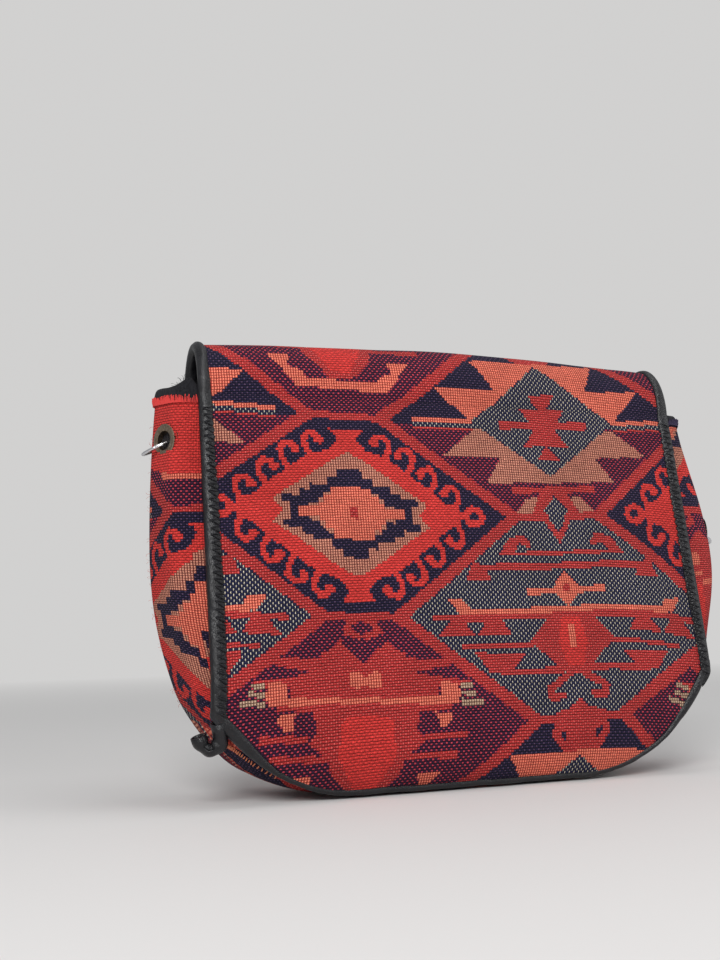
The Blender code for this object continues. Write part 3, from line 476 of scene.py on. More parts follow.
def kilimMaterial():
    w = Wires("kilimWeave")
    uv = w.node("UVMap", uv_map="threads").outputs[0]
    split = w.node("SeparateXYZ")
    w.link(uv, split.inputs[0])
    wobble = w.maths("MULTIPLY", w.maths("SUBTRACT", w.noise(w.place(), 330.0, 2.0), 0.5), 0.5)
    sway = w.maths("MULTIPLY", w.maths("SUBTRACT", w.noise(w.place(), 520.0, 1.0), 0.5), 0.55)
    across = w.maths("FRACT", w.maths("ADD", split.outputs[0], wobble))
    up = w.maths("FRACT", w.maths("ADD", split.outputs[1], sway))
    du = w.maths("ABSOLUTE", w.maths("SUBTRACT", w.maths("MULTIPLY", across, 2.0), 1.0))
    dv = w.maths("ABSOLUTE", w.maths("SUBTRACT", w.maths("MULTIPLY", up, 2.0), 1.0))
    main = w.node("Attribute", attribute_name="yarn").outputs["Color"]
    second = w.node("Attribute", attribute_name="secondYarn").outputs["Color"]
    width = w.node("Attribute", attribute_name="secondWidth").outputs["Fac"]
    tallness = w.node("Attribute", attribute_name="secondTall").outputs["Fac"]
    inside = w.ramp(w.maths("SUBTRACT", width, du), 0.0, 1.0, -0.08, 0.10)
    tall = w.ramp(w.maths("SUBTRACT", tallness, dv), 0.0, 1.0, -0.06, 0.12)
    shows = w.maths("MULTIPLY", w.maths("MULTIPLY", inside, tall), w.maths("GREATER_THAN", width, 0.01))
    colour = w.mix(shows, main, second)
    fibre = w.noise(w.place((300, 1400, 1400)), 1.0, 3.0, 0.6)
    strand = w.noise(w.place(), 1500.0, 2.0, 0.6)
    patch = w.noise(w.place(), 38.0, 3.0)
    tone = w.maths("MULTIPLY", w.ramp(fibre, 0.72, 1.26, 0.25, 0.75), w.ramp(patch, 0.88, 1.12, 0.3, 0.7))
    # painted shade: the yarn colour darkens towards each cell's edges, to 0.30 in the grooves between rows
    # and to 0.62 between yarns side by side; tone multiplies in the yarns' own random tone
    grooveShade = w.ramp(dv, 1.0, 0.30, 0.45, 1.0)
    streaked = w.ramp(tallness, 0.0, 0.8, 0.86, 0.90)  # the yarns whose second colour runs up the cloth
    grooveShade = w.maths("MAXIMUM", grooveShade, streaked)
    cross = w.ramp(du, 1.0, 0.62, 0.66, 1.0)
    gapShadeAndTone = w.maths("MULTIPLY", w.maths("MULTIPLY", grooveShade, cross), tone)
    colour = w.mix(1.0, colour, gapShadeAndTone, "MULTIPLY")
    w.set(Base_Color=colour, Roughness=0.95, Specular_IOR_Level=0.10, Sheen_Weight=0.03,
          Sheen_Roughness=0.5)
    thread = w.maths("SQRT", w.maths("MAXIMUM", w.maths("SUBTRACT", 1.0, w.maths("MULTIPLY", dv, dv)), 0.0))
    height = w.maths("ADD", w.maths("MULTIPLY", thread, w.ramp(du, 1.0, 0.55, 0.35, 1.0)),
                     w.maths("MULTIPLY", shows, 0.35))
    fuzz = w.maths("ADD", w.maths("MULTIPLY", fibre, 0.35), w.maths("MULTIPLY", strand, 0.25))
    height = w.maths("ADD", height, fuzz)
    w.bump(height, 1.0, 0.0007)
    return w.material


def blackCloth(name, colour, pitch=2200.0):
    w = Wires(name)
    at = w.place()
    waveX = w.node("TexWave", wave_type="BANDS", bands_direction="X")
    waveZ = w.node("TexWave", wave_type="BANDS", bands_direction="Z")
    for wave in (waveX, waveZ):
        w.link(at, wave.inputs["Vector"])
        wave.inputs["Scale"].default_value = pitch / 6.28
        wave.inputs["Distortion"].default_value = 0.6
    weave = w.maths("MAXIMUM", waveX.outputs["Fac"], waveZ.outputs["Fac"])
    fuzz = w.noise(at, 900.0, 4.0, 0.7)
    lift = w.ramp(w.maths("MULTIPLY", weave, fuzz), 0.5, 1.9, 0.2, 0.7)
    w.set(Base_Color=w.mix(1.0, colour, lift, "MULTIPLY"), Roughness=0.9, Sheen_Weight=0.04,
          Specular_IOR_Level=0.12)
    w.bump(w.maths("ADD", weave, fuzz), 0.6, 0.0003)
    return w.material


def leatherMaterial():
    w = Wires("softBlackLeather")
    at = w.place()
    grain = w.node("TexVoronoi", feature="DISTANCE_TO_EDGE")
    w.link(at, grain.inputs["Vector"])
    grain.inputs["Scale"].default_value = 1250.0
    cells = w.ramp(grain.outputs["Distance"], 0.0, 1.0, 0.0, 0.22)
    crease = w.noise(at, 240.0, 5.0, 0.65)
    wear = w.noise(at, 75.0, 5.0, 0.65)
    colour = w.mix(w.ramp(wear, 0.0, 1.0, 0.46, 0.74), (0.0045, 0.0045, 0.006), (0.013, 0.013, 0.016))
    w.set(Base_Color=colour, Roughness=w.ramp(crease, 0.25, 0.42, 0.3, 0.7), Specular_IOR_Level=0.42)
    height = w.maths("ADD", w.maths("MULTIPLY", cells, 0.18), w.maths("MULTIPLY", crease, 1.4))
    w.bump(height, 0.5, 0.0006)
    return w.material


def metalMaterial(name, colour, dark, roughness, wearScale=420.0):
    w = Wires(name)
    at = w.place()
    wear = w.noise(at, wearScale, 5.0, 0.65)
    fine = w.noise(at, 2600.0, 3.0, 0.6)
    w.set(Base_Color=w.mix(w.ramp(wear, 0.0, 1.0, 0.38, 0.62), dark, colour), Metallic=1.0,
          Roughness=w.ramp(wear, roughness + 0.16, roughness, 0.35, 0.65))
    w.bump(w.maths("ADD", wear, w.maths("MULTIPLY", fine, 0.3)), 0.35, 0.00025)
    return w.material


def plainMaterial(name, colour, roughness):
    w = Wires(name)
    at = w.place()
    mottle = w.noise(at, 5.0, 3.0)
    w.set(Base_Color=w.mix(w.ramp(mottle, 0.0, 1.0, 0.3, 0.7), colour, tuple(c * 0.985 for c in colour)),
          Roughness=roughness)
    return w.material


kilimCloth = kilimMaterial()
liningBlack = blackCloth("blackLining", (0.020, 0.018, 0.020))
tapeBlack = blackCloth("blackTape", (0.016, 0.016, 0.019), 3000.0)
leather = leatherMaterial()
brass = metalMaterial("wornBrass", (0.36, 0.28, 0.20), (0.17, 0.13, 0.095), 0.30, 900.0)
zipBrass = metalMaterial("zipBrass", (0.45, 0.36, 0.22), (0.20, 0.15, 0.10), 0.28, 900.0)
wire = metalMaterial("brightWire", (0.80, 0.80, 0.82), (0.60, 0.60, 0.62), 0.16, 1500.0)
threadBlack = blackCloth("blackThread", (0.020, 0.020, 0.023), 4000.0)


def finish(obj, material, body, slot, *nodes):
    obj.data.materials.clear()
    obj.data.materials.append(material)
    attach(obj, body)
    if nodes:
        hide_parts(*nodes)
    return obj


# the flap
print("weaving the flap")


def undulate(x, v):  # the slack of the cloth, in metres
    a = np.sin(x * 41 + 1.3 * np.sin(v * 17 + 0.7)) * np.sin(v * 29 + 0.9)
    b = np.sin(x * 83 + v * 57 + 2.1) * 0.35
    edge = np.clip((flapCut["half"] - 0.010 - np.abs(x)) / 0.030, 0, 1)
    return flapCut["swell"] * (a + b) * edge * edge * (3 - 2 * edge)


# as flapGrid, but each row keeps its length from the crest; also gives where each column ends
def warpGrid(xs, vs):
    middle = flapPaths([0.0])[0][1]
    points, ends = np.zeros((len(vs), len(xs), 3)), []
    for k, (path, run) in enumerate(flapPaths(xs)):
        at = np.where(vs < 0, vs * run[0] / middle[0], vs)
        points[:, k, 0] = xs[k]
        points[:, k, 1] = np.interp(at, run, path[:, 0])
        points[:, k, 2] = np.interp(at, run, path[:, 1])
        ends.append(run[-1] - cornerRise(xs[k]))
    return points, np.array(ends)


middleRun = flapPaths([0.0])[0][1]
columns = int(round(2 * flapCut["half"] / flapCut["thread"]))
flapX = np.linspace(-flapCut["half"], flapCut["half"], columns + 1)
flapV = np.arange(middleRun[0], middleRun[-1] + 4 * mm, flapCut["thread"])
flapBase, columnEnds = warpGrid(flapX, flapV)
centre = np.array((0.0, 0.0, 0.09))
flapNormal = gridNormals(flapBase, centre)
slack = undulate(flapX[None, :], flapV[:, None])
gridX, gridV = np.meshgrid((flapX[:-1] + flapX[1:]) / 2 / mm, (flapV[:-1] + flapV[1:]) / 2 / mm)
# the cloth hangs lower towards its right corner, from 60 mm out and 90 mm down
sag = past(gridX, 60, 115) ** 2 * past(gridV, 90, 170) * lattice["rightSag"]
zones = kilim(gridX + lattice["shift"][0],
              gridV * lattice["stretch"] + lattice["shift"][1] + lattice["bow"] * (gridX / 100) ** 2 - sag)
uncut = flapV[1:, None] < np.minimum(columnEnds[:-1], columnEnds[1:]) + 0.2 * mm
outerFace = flapBase + flapNormal * (flapCut["clothTo"] + np.maximum(slack, -0.3 * mm))[..., None]
innerFace = flapBase + flapNormal * (flapCut["clothFrom"] + np.maximum(slack, -0.3 * mm) * 0.5)[..., None]
flap = clothPiece("flapCloth", outerFace, innerFace, zones, uncut)
finish(flap, kilimCloth, "bag", "kilim_cloth", "flap")


liningGrid = flapGrid(np.linspace(-flapCut["half"], flapCut["half"], 54),
                      np.linspace(middleRun[0], middleRun[-1], 61))
liningNormal = gridNormals(liningGrid, centre)
flapLining = clothPiece("flapLining", liningGrid + liningNormal * flapCut["liningTo"],
                        liningGrid + liningNormal * flapCut["liningFrom"],
                        np.full((liningGrid.shape[0] - 1, liningGrid.shape[1] - 1), zoneNames.index("black")))
finish(flapLining, liningBlack, "bag", "lining_cloth", "flap_lining")

# the pouch's panels
print("weaving the pouch")
pouchWeave = {
    "cell": 1.30 * mm, "backCell": 1.5 * mm,
    "backPhase": (-60.0, 12.0), "leftPhase": (-22.0, -43.0), "rightPhase": (-100.0, 60.0),
    "eyeletHole": 6.3 * mm, "leftEyeletZ": 0.166, "rightEyeletZ": 0.124, "eyeletOffFold": 0.0086,
}
# plain fields of the wings: millimetres along the section from the fold, and down from the mouth
leftFields = [("coral", [(-60, 0), (8, 0), (8, 26), (4, 33), (-14, 37), (-60, 41)])]
rightFields = [("navy", [(-40, 0), (60, 0), (60, 3), (-40, 5)])]


def panelLevels(cell):
    seam = pouch["seamGap"] / 2
    low = float(roundZ(pouch["bottomSeamDeg"])) + seam
    curve = roundZ(np.linspace(pouch["bottomSeamDeg"], 90, 11))
    curve[0] = low
    straight = np.linspace(pouch["roundHeight"], pouch["mouthZ"],
                           int((pouch["mouthZ"] - pouch["roundHeight"]) / cell) + 1)[1:]
    return np.concatenate((curve, straight))


sectionU = np.linspace(0, 30, 3001)
sectionLine = bodyGrid(sectionU, [0.09])[0]
sectionRun = runAlong(sectionLine)


def runAt(u):
    return np.interp(u, sectionU, sectionRun)


def evenColumns(uFirst, uLast, cell):  # u values that are evenly spaced along the section
    trim = pouch["seamGap"] / 2
    first, last = runAt(uFirst) + trim, runAt(uLast) - trim
    at = np.linspace(first, last, int(round((last - first) / cell)) + 1)
    return np.interp(at, sectionRun, sectionU), at


def holeCentres(left):
    z = pouchWeave["leftEyeletZ" if left else "rightEyeletZ"]
    fold = 12.0 if left else 24.0
    found = []
    for away in (-1, 1):
        us = fold + away * np.linspace(0, 3, 200)
        line = bodyGrid(us, [z])[0]
        reach = np.abs(line[:, 1] - line[0, 1])
        u = np.interp(pouchWeave["eyeletOffFold"], reach, us)
        found.append(bodyGrid([u], [z])[0][0])
    return found


def panel(name, node, uFirst, uLast, phases, holes=(), cell=None):
    # phases: for each fold that the pattern is counted from, its u, its phase and its plain fields
    cell = cell or pouchWeave["cell"]
    us, at = evenColumns(uFirst, uLast, cell)
    levels = panelLevels(cell)[::-1]
    points = bodyGrid(us, levels)
    normal = gridNormals(points, centre)
    height = runAlong(points[:, len(us) // 2])
    down = (height[:-1] + height[1:]) / 2 / mm
    middleAt = (at[:-1] + at[1:]) / 2
    zone = np.zeros((len(down), len(middleAt)), int)
    for foldU, phase, fields in phases:
        along = (middleAt - runAt(foldU)) / mm
        mine = np.abs(along) < 150
        gx, gv = np.meshgrid(along, down)
        found = kilim(gx + phase[0], gv + 38 + phase[1])
        for yarn, corners in fields:
            found[inArea(gx, gv, corners)] = zoneNames.index(yarn)
        zone[:, mine] = found[:, mine]
    middles = (points[:-1, :-1] + points[1:, 1:]) / 2
    keep = np.ones(middles.shape[:2], bool)
    for hole in holes:
        keep &= np.linalg.norm(middles - hole, axis=2) > pouchWeave["eyeletHole"]
    obj = clothPiece(name, points, points - normal * pouch["cloth"], zone, keep)
    finish(obj, kilimCloth, "bag", "kilim_cloth", node)
    return obj


leftSide = (12, pouchWeave["leftPhase"], leftFields)
rightSide = (24, pouchWeave["rightPhase"], rightFields)
frontRight = (0, pouchWeave["rightPhase"], rightFields)
panel("frontPanel", "front_panel", 3, 9, [frontRight, leftSide])
panel("backPanel", "back_panel", 15, 21, [(18, pouchWeave["backPhase"], ())], cell=pouchWeave["backCell"])
panel("leftGusset", "side_gusset_left", 9, 15, [leftSide], holeCentres(True))
panel("rightGusset", "side_gusset_right", 21, 27, [rightSide], holeCentres(False))


def loopU(count):
    us = np.linspace(0, 24, 1200)
    line = bodyGrid(us, [0.09])[0]
    run = runAlong(line)
    half = np.interp(np.linspace(0, run[600], count // 2 + 1), run[:601], us[:601])
    return np.concatenate((half[:-1], 24 - half[::-1][:-1]))


def dish(name, levels, us, thickness, inset=0.0):
    # rows of the body's outer face, closed under it by rows that join front to back
    points = bodyGrid(us, levels)
    count, half = len(us), len(us) // 2
    mesh = bpy.data.meshes.new(name)
    across = 16
    floor = []
    for k in range(1, half):
        a, b = points[0, k], points[0, count - k]
        floor.append([a + (b - a) * t for t in np.linspace(0, 1, across + 1)[1:-1]])
    outer = points.reshape(-1, 3)
    bm = bmesh.new()
    vs = [bm.verts.new(p) for p in outer]
    fl = [[bm.verts.new(p) for p in line] for line in floor]
    for r in range(len(levels) - 1):
        for c in range(count):
            d = (c + 1) % count
            low, high = r * count, (r + 1) * count
            bm.faces.new((vs[low + c], vs[low + d], vs[high + d], vs[high + c]))
    lines = [[vs[k], *fl[k - 1], vs[count - k]] for k in range(1, half)]
    for a, b in zip(lines, lines[1:]):
        for t in range(len(a) - 1):
            bm.faces.new((a[t], b[t], b[t + 1], a[t + 1]))
    for line, tip in ((lines[0], vs[0]), (lines[-1], vs[half])):
        for t in range(len(line) - 1):
            bm.faces.new((tip, line[t], line[t + 1]))
    bmesh.ops.recalc_face_normals(bm, faces=bm.faces)
    bm.normal_update()
    if sum(f.normal.dot(f.calc_center_median() - Vector(centre)) * f.calc_area() for f in bm.faces) < 0:
        bmesh.ops.reverse_faces(bm, faces=bm.faces)
    bm.normal_update()
    if inset:
        moves = [(v, v.normal.copy()) for v in bm.verts]
        for v, n in moves:
            v.co -= n * inset
    bm.to_mesh(mesh)
    bm.free()
    mesh.shade_smooth()
    obj = bpy.data.objects.new(name, mesh)
    scene.collection.objects.link(obj)
    wall = obj.modifiers.new("wall", "SOLIDIFY")
    wall.thickness = thickness
    wall.offset = -1.0
    return obj


def applied(obj):
    graph = bpy.context.evaluated_depsgraph_get()
    mesh = bpy.data.meshes.new_from_object(obj.evaluated_get(graph))
    obj.modifiers.clear()
    obj.data = mesh
    return obj


def weaveBottom(obj):
    # the bottom's threads run on from the front panel's
    mesh = obj.data
    n = len(mesh.polygons)
    middle = np.zeros(n * 3)
    mesh.polygons.foreach_get("center", middle)
    middle = middle.reshape(-1, 3) / mm
    zone = kilim(middle[:, 0], middle[:, 1] + 260)
    table = [yarns[k] for k in zoneNames]
    loops = np.array([p.loop_total for p in mesh.polygons])
    cell = np.floor(middle[:, 0] / 1.3) + np.floor(middle[:, 1] / 1.3)
    for attribute, index in (("yarn", 0), ("secondYarn", 1)):
        layer = mesh.color_attributes.new(attribute, "FLOAT_COLOR", "CORNER")
        rgba = np.concatenate((np.array([t[index] for t in table])[zone], np.ones((n, 1))), axis=1)
        layer.data.foreach_set("color", np.repeat(rgba, loops, axis=0).ravel())
    for attribute, index, shown in (("secondWidth", 2, cell % 2 == 0), ("secondTall", 3, 1)):
        layer = mesh.attributes.new(attribute, "FLOAT", "CORNER")
        layer.data.foreach_set("value", np.repeat(np.array([t[index] for t in table])[zone] * shown, loops))
    uv = mesh.uv_layers.new(name="threads")
    at = np.zeros(len(mesh.loops), int)
    mesh.loops.foreach_get("vertex_index", at)
    co = np.zeros(len(mesh.vertices) * 3)
    mesh.vertices.foreach_get("co", co)
    uv.data.foreach_set("uv", (co.reshape(-1, 3)[at][:, :2] / (1.3 * mm)).ravel())


seamDeg = pouch["bottomSeamDeg"]
bottomLevels = roundZ(np.linspace(0, seamDeg, 9))
bottomLevels[-1] -= pouch["seamGap"] / 2
bottom = applied(dish("bottomPanel", bottomLevels, loopU(440), pouch["cloth"]))
weaveBottom(bottom)
finish(bottom, kilimCloth, "bag", "kilim_cloth", "bottom_panel")
liningLevels = np.concatenate((roundZ(np.linspace(0, 90, 10)),
                               np.linspace(pouch["roundHeight"], pouch["mouthZ"], 30)[1:]))
lining = applied(dish("pouchLining", liningLevels, loopU(240), pouch["lining"],
                      pouch["cloth"] + pouch["clear"]))
finish(lining, liningBlack, "bag", "lining_cloth", "lining")


# what repeats is grown by Geometry Nodes on seats: points that carry their own upward and forward directions
class Graph:
    def __init__(self, name, material, inputs):
        self.tree = bpy.data.node_groups.new(name, "GeometryNodeTree")
        face = self.tree.interface
        face.new_socket("Geometry", in_out="OUTPUT", socket_type="NodeSocketGeometry")
        face.new_socket("Geometry", in_out="INPUT", socket_type="NodeSocketGeometry")
        self.inputs = {}
        for label, kind, value in inputs:
            socket = face.new_socket(label, in_out="INPUT", socket_type="NodeSocket" + kind)
            self.inputs[label] = (socket, value)
        self.entry = self.tree.nodes.new("NodeGroupInput")
        self.material = material

    def node(self, kind, values=(), **settings):
        made = self.tree.nodes.new(kind)
        for key, value in settings.items():
            setattr(made, key, value)
        for key, value in values:
            self.put(made.inputs[key], value)
        return made

    def put(self, socket, value):
        if isinstance(value, bpy.types.NodeSocket):
            self.tree.links.new(value, socket)
        else:
            socket.default_value = value

    def value(self, label):
        return self.entry.outputs[label]

    def maths(self, operation, a, b=0.0):
        return self.node("ShaderNodeMath", ((0, a), (1, b)), operation=operation).outputs[0]

    def vector(self, x, y, z):
        return self.node("ShaderNodeCombineXYZ", ((0, x), (1, y), (2, z))).outputs[0]

    def random(self, low, high, seed):
        made = self.node("FunctionNodeRandomValue", data_type="FLOAT")
        for key, value in ((2, low), (3, high), (8, seed)):
            self.put(made.inputs[key], value)
        return made.outputs[1]

    def named(self, name):
        made = self.node("GeometryNodeInputNamedAttribute", ((0, name),), data_type="FLOAT_VECTOR")
        return made.outputs[0]

    def thread(self, start, middle, end, radius, steps, sides):
        line = self.node("GeometryNodeCurveQuadraticBezier",
                         (("Resolution", steps), ("Start", start), ("Middle", middle), ("End", end)))
        ring = self.node("GeometryNodeCurvePrimitiveCircle", (("Resolution", sides), ("Radius", radius)))
        tube = self.node("GeometryNodeCurveToMesh",
                         (("Curve", line.outputs[0]), ("Profile Curve", ring.outputs[0]),
                          ("Fill Caps", True)))
        return tube.outputs[0]

    def plant(self, pieces, spin=None, scale=None):
        shape = self.node("GeometryNodeJoinGeometry")
        for piece in pieces:
            self.tree.links.new(piece, shape.inputs[0])
        turn = self.node("FunctionNodeAxesToRotation",
                         (("Primary Axis", self.named("up")), ("Secondary Axis", self.named("ahead"))),
                         primary_axis="Z", secondary_axis="X").outputs[0]
        if spin is not None:
            turn = self.node("FunctionNodeRotateRotation", ((0, turn), (1, spin)),
                             rotation_space="LOCAL").outputs[0]
        spread = self.node("GeometryNodeInstanceOnPoints",
                           (("Points", self.value("Geometry")), ("Instance", shape.outputs[0]),
                            ("Rotation", turn)))
        if scale is not None:
            self.put(spread.inputs["Scale"], scale)
        real = self.node("GeometryNodeRealizeInstances", ((0, spread.outputs[0]),))
        coated = self.node("GeometryNodeSetMaterial",
                           (("Geometry", real.outputs[0]), ("Material", self.material)))
        smooth = self.node("GeometryNodeSetShadeSmooth", ((0, coated.outputs[0]),))
        out = self.tree.nodes.new("NodeGroupOutput")
        self.tree.links.new(smooth.outputs[0], out.inputs[0])
        return self

    def grow(self, name, seats, up, ahead):
        mesh = bpy.data.meshes.new(name)
        mesh.from_pydata(np.asarray(seats).tolist(), [], [])
        for label, values in (("up", up), ("ahead", ahead)):
            layer = mesh.attributes.new(label, "FLOAT_VECTOR", "POINT")
            layer.data.foreach_set("vector", np.asarray(values, float).ravel())
        obj = bpy.data.objects.new(name, mesh)
        scene.collection.objects.link(obj)
        grower = obj.modifiers.new(name, "NODES")
        grower.node_group = self.tree
        for socket, value in self.inputs.values():
            grower[socket.identifier] = value
        return applied(obj)


# leather bindings round the flap
print("binding the flap")
binding = {
    "width": 8.6 * mm, "rightWider": 0.6 * mm, "narrowTop": 4.6 * mm, "narrowUntil": 0.170,
    "bottomWidth": 2.8 * mm, "cornerWidth": 7.6 * mm, "cornerFrom": (0.098, 0.116),
    "step": 0.75 * mm, "overhang": 1.2 * mm, "pucker": 0.22 * mm, "lipDrift": 0.35 * mm,
    "wrinkle": 0.32 * mm, "scallop": 0.42 * mm, "stitchPitch": 3.3 * mm, "stitchFrom": 40 * mm,
    "stitchReach": 4.6 * mm, "stitchIn": 2.9 * mm, "stitchUp": 6.75 * mm, "stitchLean": 0.20,
    "threadRadius": 0.28 * mm, "cutWidth": 23 * mm,
}
# the channel's outer and inner lines in millimetres: towards the flap's edge, and away from the body
lipOuter = [(-1.0, 5.15), (-0.93, 5.75), (-0.72, 6.35), (-0.42, 6.62), (-0.15, 6.35), (0.06, 5.55),
            (0.145, 4.4), (0.145, 2.9), (0.06, 1.75), (-0.15, 1.0), (-0.42, 0.7), (-0.8, 0.7), (-1.0, 0.85)]
lipInner = [(-1.0, 5.02), (-0.93, 5.1), (-0.72, 5.4), (-0.42, 5.5), (-0.15, 5.42), (0.0, 5.1), (0.045, 4.3),
            (0.045, 2.9), (0.0, 2.1), (-0.15, 1.62), (-0.42, 1.55), (-0.8, 1.55), (-1.0, 1.5)]


def smoothLine(points, times):  # rounds a line by cutting its corners
    points = np.array(points, float)
    for _ in range(times):
        a, b = points[:-1], points[1:]
        cut = np.stack((a * 0.75 + b * 0.25, a * 0.25 + b * 0.75), axis=1).reshape(-1, points.shape[1])
        points = np.concatenate((points[:1], cut[1:-1], points[-1:]))
    return points


def unit(vectors):
    return vectors / np.maximum(np.linalg.norm(vectors, axis=-1, keepdims=True), 1e-12)


def tube(name, outer, inner, closed=False):
    # outer and inner faces are grids of rows along the piece; both lips and both ends are closed
    rows, count = outer.shape[:2]
    ring = np.concatenate((outer, inner[:, ::-1]), axis=1)
    wide = 2 * count
    faces = []
    for r in range(rows if closed else rows - 1):
        n = (r + 1) % rows
        for c in range(wide):
            d = (c + 1) % wide
            faces.append((r * wide + c, r * wide + d, n * wide + d, n * wide + c))
    if not closed:
        for r in (0, rows - 1):
            for c in range(count - 1):
                a, b = r * wide + c, r * wide + wide - 1 - c
                faces.append((a, a + 1, b - 1, b) if r else (b, b - 1, a + 1, a))
    mesh = bpy.data.meshes.new(name)
    mesh.from_pydata(ring.reshape(-1, 3).tolist(), [], faces)
    bm = bmesh.new()
    bm.from_mesh(mesh)
    bmesh.ops.recalc_face_normals(bm, faces=bm.faces)
    if bm.calc_volume(signed=True) < 0:
        bmesh.ops.reverse_faces(bm, faces=bm.faces)
    bm.to_mesh(mesh)
    bm.free()
    mesh.shade_smooth()
    obj = bpy.data.objects.new(name, mesh)
    scene.collection.objects.link(obj)
    return obj


def edgeFrames(side):
    # along one edge of the flap: place, outward normal, towards the edge, forward, and length run
    vs = np.arange(middleRun[0], middleRun[-1], binding["step"])
    vs = np.append(vs, middleRun[-1])
    pair = flapGrid([side * flapCut["half"], side * (flapCut["half"] - 1.0 * mm)], vs)
    place = pair[:, 0]
    out = unit(pair[:, 0] - pair[:, 1])
    ahead = unit(np.gradient(place, axis=0))
    normal = unit(np.cross(ahead, out))
    if (normal * (place - centre)).sum() < 0:
        normal = -normal
    run = runAlong(place)
    return place, normal, out, ahead, run, vs


def waves(s, seed):  # a few waves of unlike length, between about -1 and 1
    found = np.zeros_like(s)
    for k, (long, share) in enumerate(((0.041, 0.4), (0.023, 0.3), (0.0127, 0.2), (0.0071, 0.12))):
        found = found + share * np.sin(s / long * 2 * math.pi + seed * 2.3 + k * 1.7)
    return found


def channel(frames, width, seed, stitched):
    place, normal, out, ahead, run, vs = frames
    outer2, inner2 = smoothLine(lipOuter, 2), smoothLine(lipInner, 2)
    pucker = np.clip((vs - binding["stitchFrom"]) / (25 * mm), 0, 1) * stitched
    beat = np.cos(run / binding["stitchPitch"] * 2 * math.pi)
    slim = binding["narrowTop"] * np.clip(1 - vs / binding["narrowUntil"], 0, 1)
    found = []
    for line, full in ((outer2, 1.0), (inner2, 0.35)):
        side = line[:, 0] * (width - slim[:, None] * (line[:, 0] < 0))
        up = line[:, 1] * mm
        lip = np.clip((-line[:, 0] - 0.45) / 0.5, 0, 1)  # 1 at the free edge that shows
        lip = lip * (line[:, 1] > 3)
        crown = np.exp(-((line[:, 0] + 0.42) / 0.3) ** 2) * (line[:, 1] > 4) * full
        rise = binding["wrinkle"] * waves(run, seed)[:, None] * crown
        rise = rise + binding["wrinkle"] * (waves(run * 2.6 + 0.01, seed + 3) * pucker)[:, None] * crown
        dent = np.exp(-((line[:, 0] + 0.78) / 0.16) ** 2) * full
        rise = rise - binding["pucker"] * (pucker * (0.5 + 0.5 * beat))[:, None] * dent
        shift = binding["scallop"] * (pucker * beat)[:, None] * lip
        shift = shift + binding["lipDrift"] * waves(run, seed + 5)[:, None] * lip
        found.append(place[:, None] + out[:, None] * (side + shift)[..., None]
                     + normal[:, None] * (up + rise)[..., None])
    return found


leftFrames, rightFrames = edgeFrames(-1), edgeFrames(1)
for name, node, frames, seed in (("flapBindingLeft", "flap_binding_left", leftFrames, 1.0),
                                 ("flapBindingRight", "flap_binding_right", rightFrames, 4.0)):
    width = binding["width"] + (binding["rightWider"] if frames is rightFrames else 0.0)
    over = binding["overhang"]
    pastEnd = [f[-1:] + frames[3][-1] * over if k == 0 else f[-1:] for k, f in enumerate(frames[:4])]
    longer = [np.concatenate((f, e)) for f, e in zip(frames[:4], pastEnd)]
    longer += [np.append(f, f[-1] + over) for f in frames[4:]]
    outer, inner = channel(longer, width, seed, 1.0)
    obj = tube(name, outer, inner)
    finish(obj, leather, "bag", "black_leather", node)

# the bottom binding lies across the flap's end, tucked under the belly
inset = flapCut["half"] - 3.0 * mm
bottomX = np.linspace(-inset, inset, 330)
tail = flapGrid(bottomX, np.linspace(middleRun[-1] - 12 * mm, middleRun[-1], 13))
forward = unit(tail[-1] - tail[-2])
crossways = unit(np.gradient(tail[-1], axis=0))
tailNormal = unit(np.cross(forward, crossways))
tailNormal *= np.sign((tailNormal * (tail[-1] - centre)).sum())
bottomRun = runAlong(tail[-1])


def bottomChannel(line, width, full):
    up = line[:, 1] * mm
    rise = binding["wrinkle"] * waves(bottomRun, 7.0)[:, None] * (line[:, 1] > 4) * full
    found = np.zeros((len(bottomX), len(line), 3))
    for k in range(len(bottomX)):
        side = line[:, 0] * np.interp(abs(bottomX[k]), binding["cornerFrom"], (width, binding["cornerWidth"]))
        run = runAlong(tail[:, k])
        run -= run[-1]
        inner = np.minimum(side, 0.0)
        at = np.stack([np.interp(inner, run, tail[:, k, axis]) for axis in range(3)], axis=1)
        at += forward[k] * np.maximum(side, 0.0)[:, None]
        found[k] = at + tailNormal[k] * (up + rise[k])[:, None]
    return found


obj = tube("flapBindingBottom", bottomChannel(smoothLine(lipOuter, 2), binding["bottomWidth"], 1.0),
           bottomChannel(smoothLine(lipInner, 2), binding["bottomWidth"], 0.3))
finish(obj, leather, "bag", "black_leather", "flap_binding_bottom")

# whip stitches over the lip, from mid-height down
whip = Graph("whipStitch", threadBlack, [("Reach", "Float", binding["stitchReach"]),
                                         ("Pitch", "Float", binding["stitchPitch"]),
                                         ("Radius", "Float", binding["threadRadius"]), ("Seed", "Int", 11)])
reach, pitch, radius = whip.value("Reach"), whip.value("Pitch"), whip.value("Radius")
back, lift = whip.maths("MULTIPLY", reach, -0.5), whip.maths("MULTIPLY", radius, 2.2)
ahead = whip.maths("MULTIPLY", reach, 0.5)
legs = [whip.thread(whip.vector(whip.maths("MULTIPLY", pitch, a), ahead, -0.0006),
                    whip.vector(whip.maths("MULTIPLY", pitch, m), whip.maths("MULTIPLY", reach, 0.1), lift),
                    whip.vector(whip.maths("MULTIPLY", pitch, b), back, -0.0001), radius, 7, 6)
        for a, m, b in ((0.30, 0.05, -0.32), (-0.42, -0.45, -0.34))]
whip.plant(legs, spin=whip.vector(0.0, 0.0, whip.random(-0.22, 0.22, whip.value("Seed"))),
           scale=whip.vector(1.0, whip.random(0.8, 1.15, 7), 1.0))
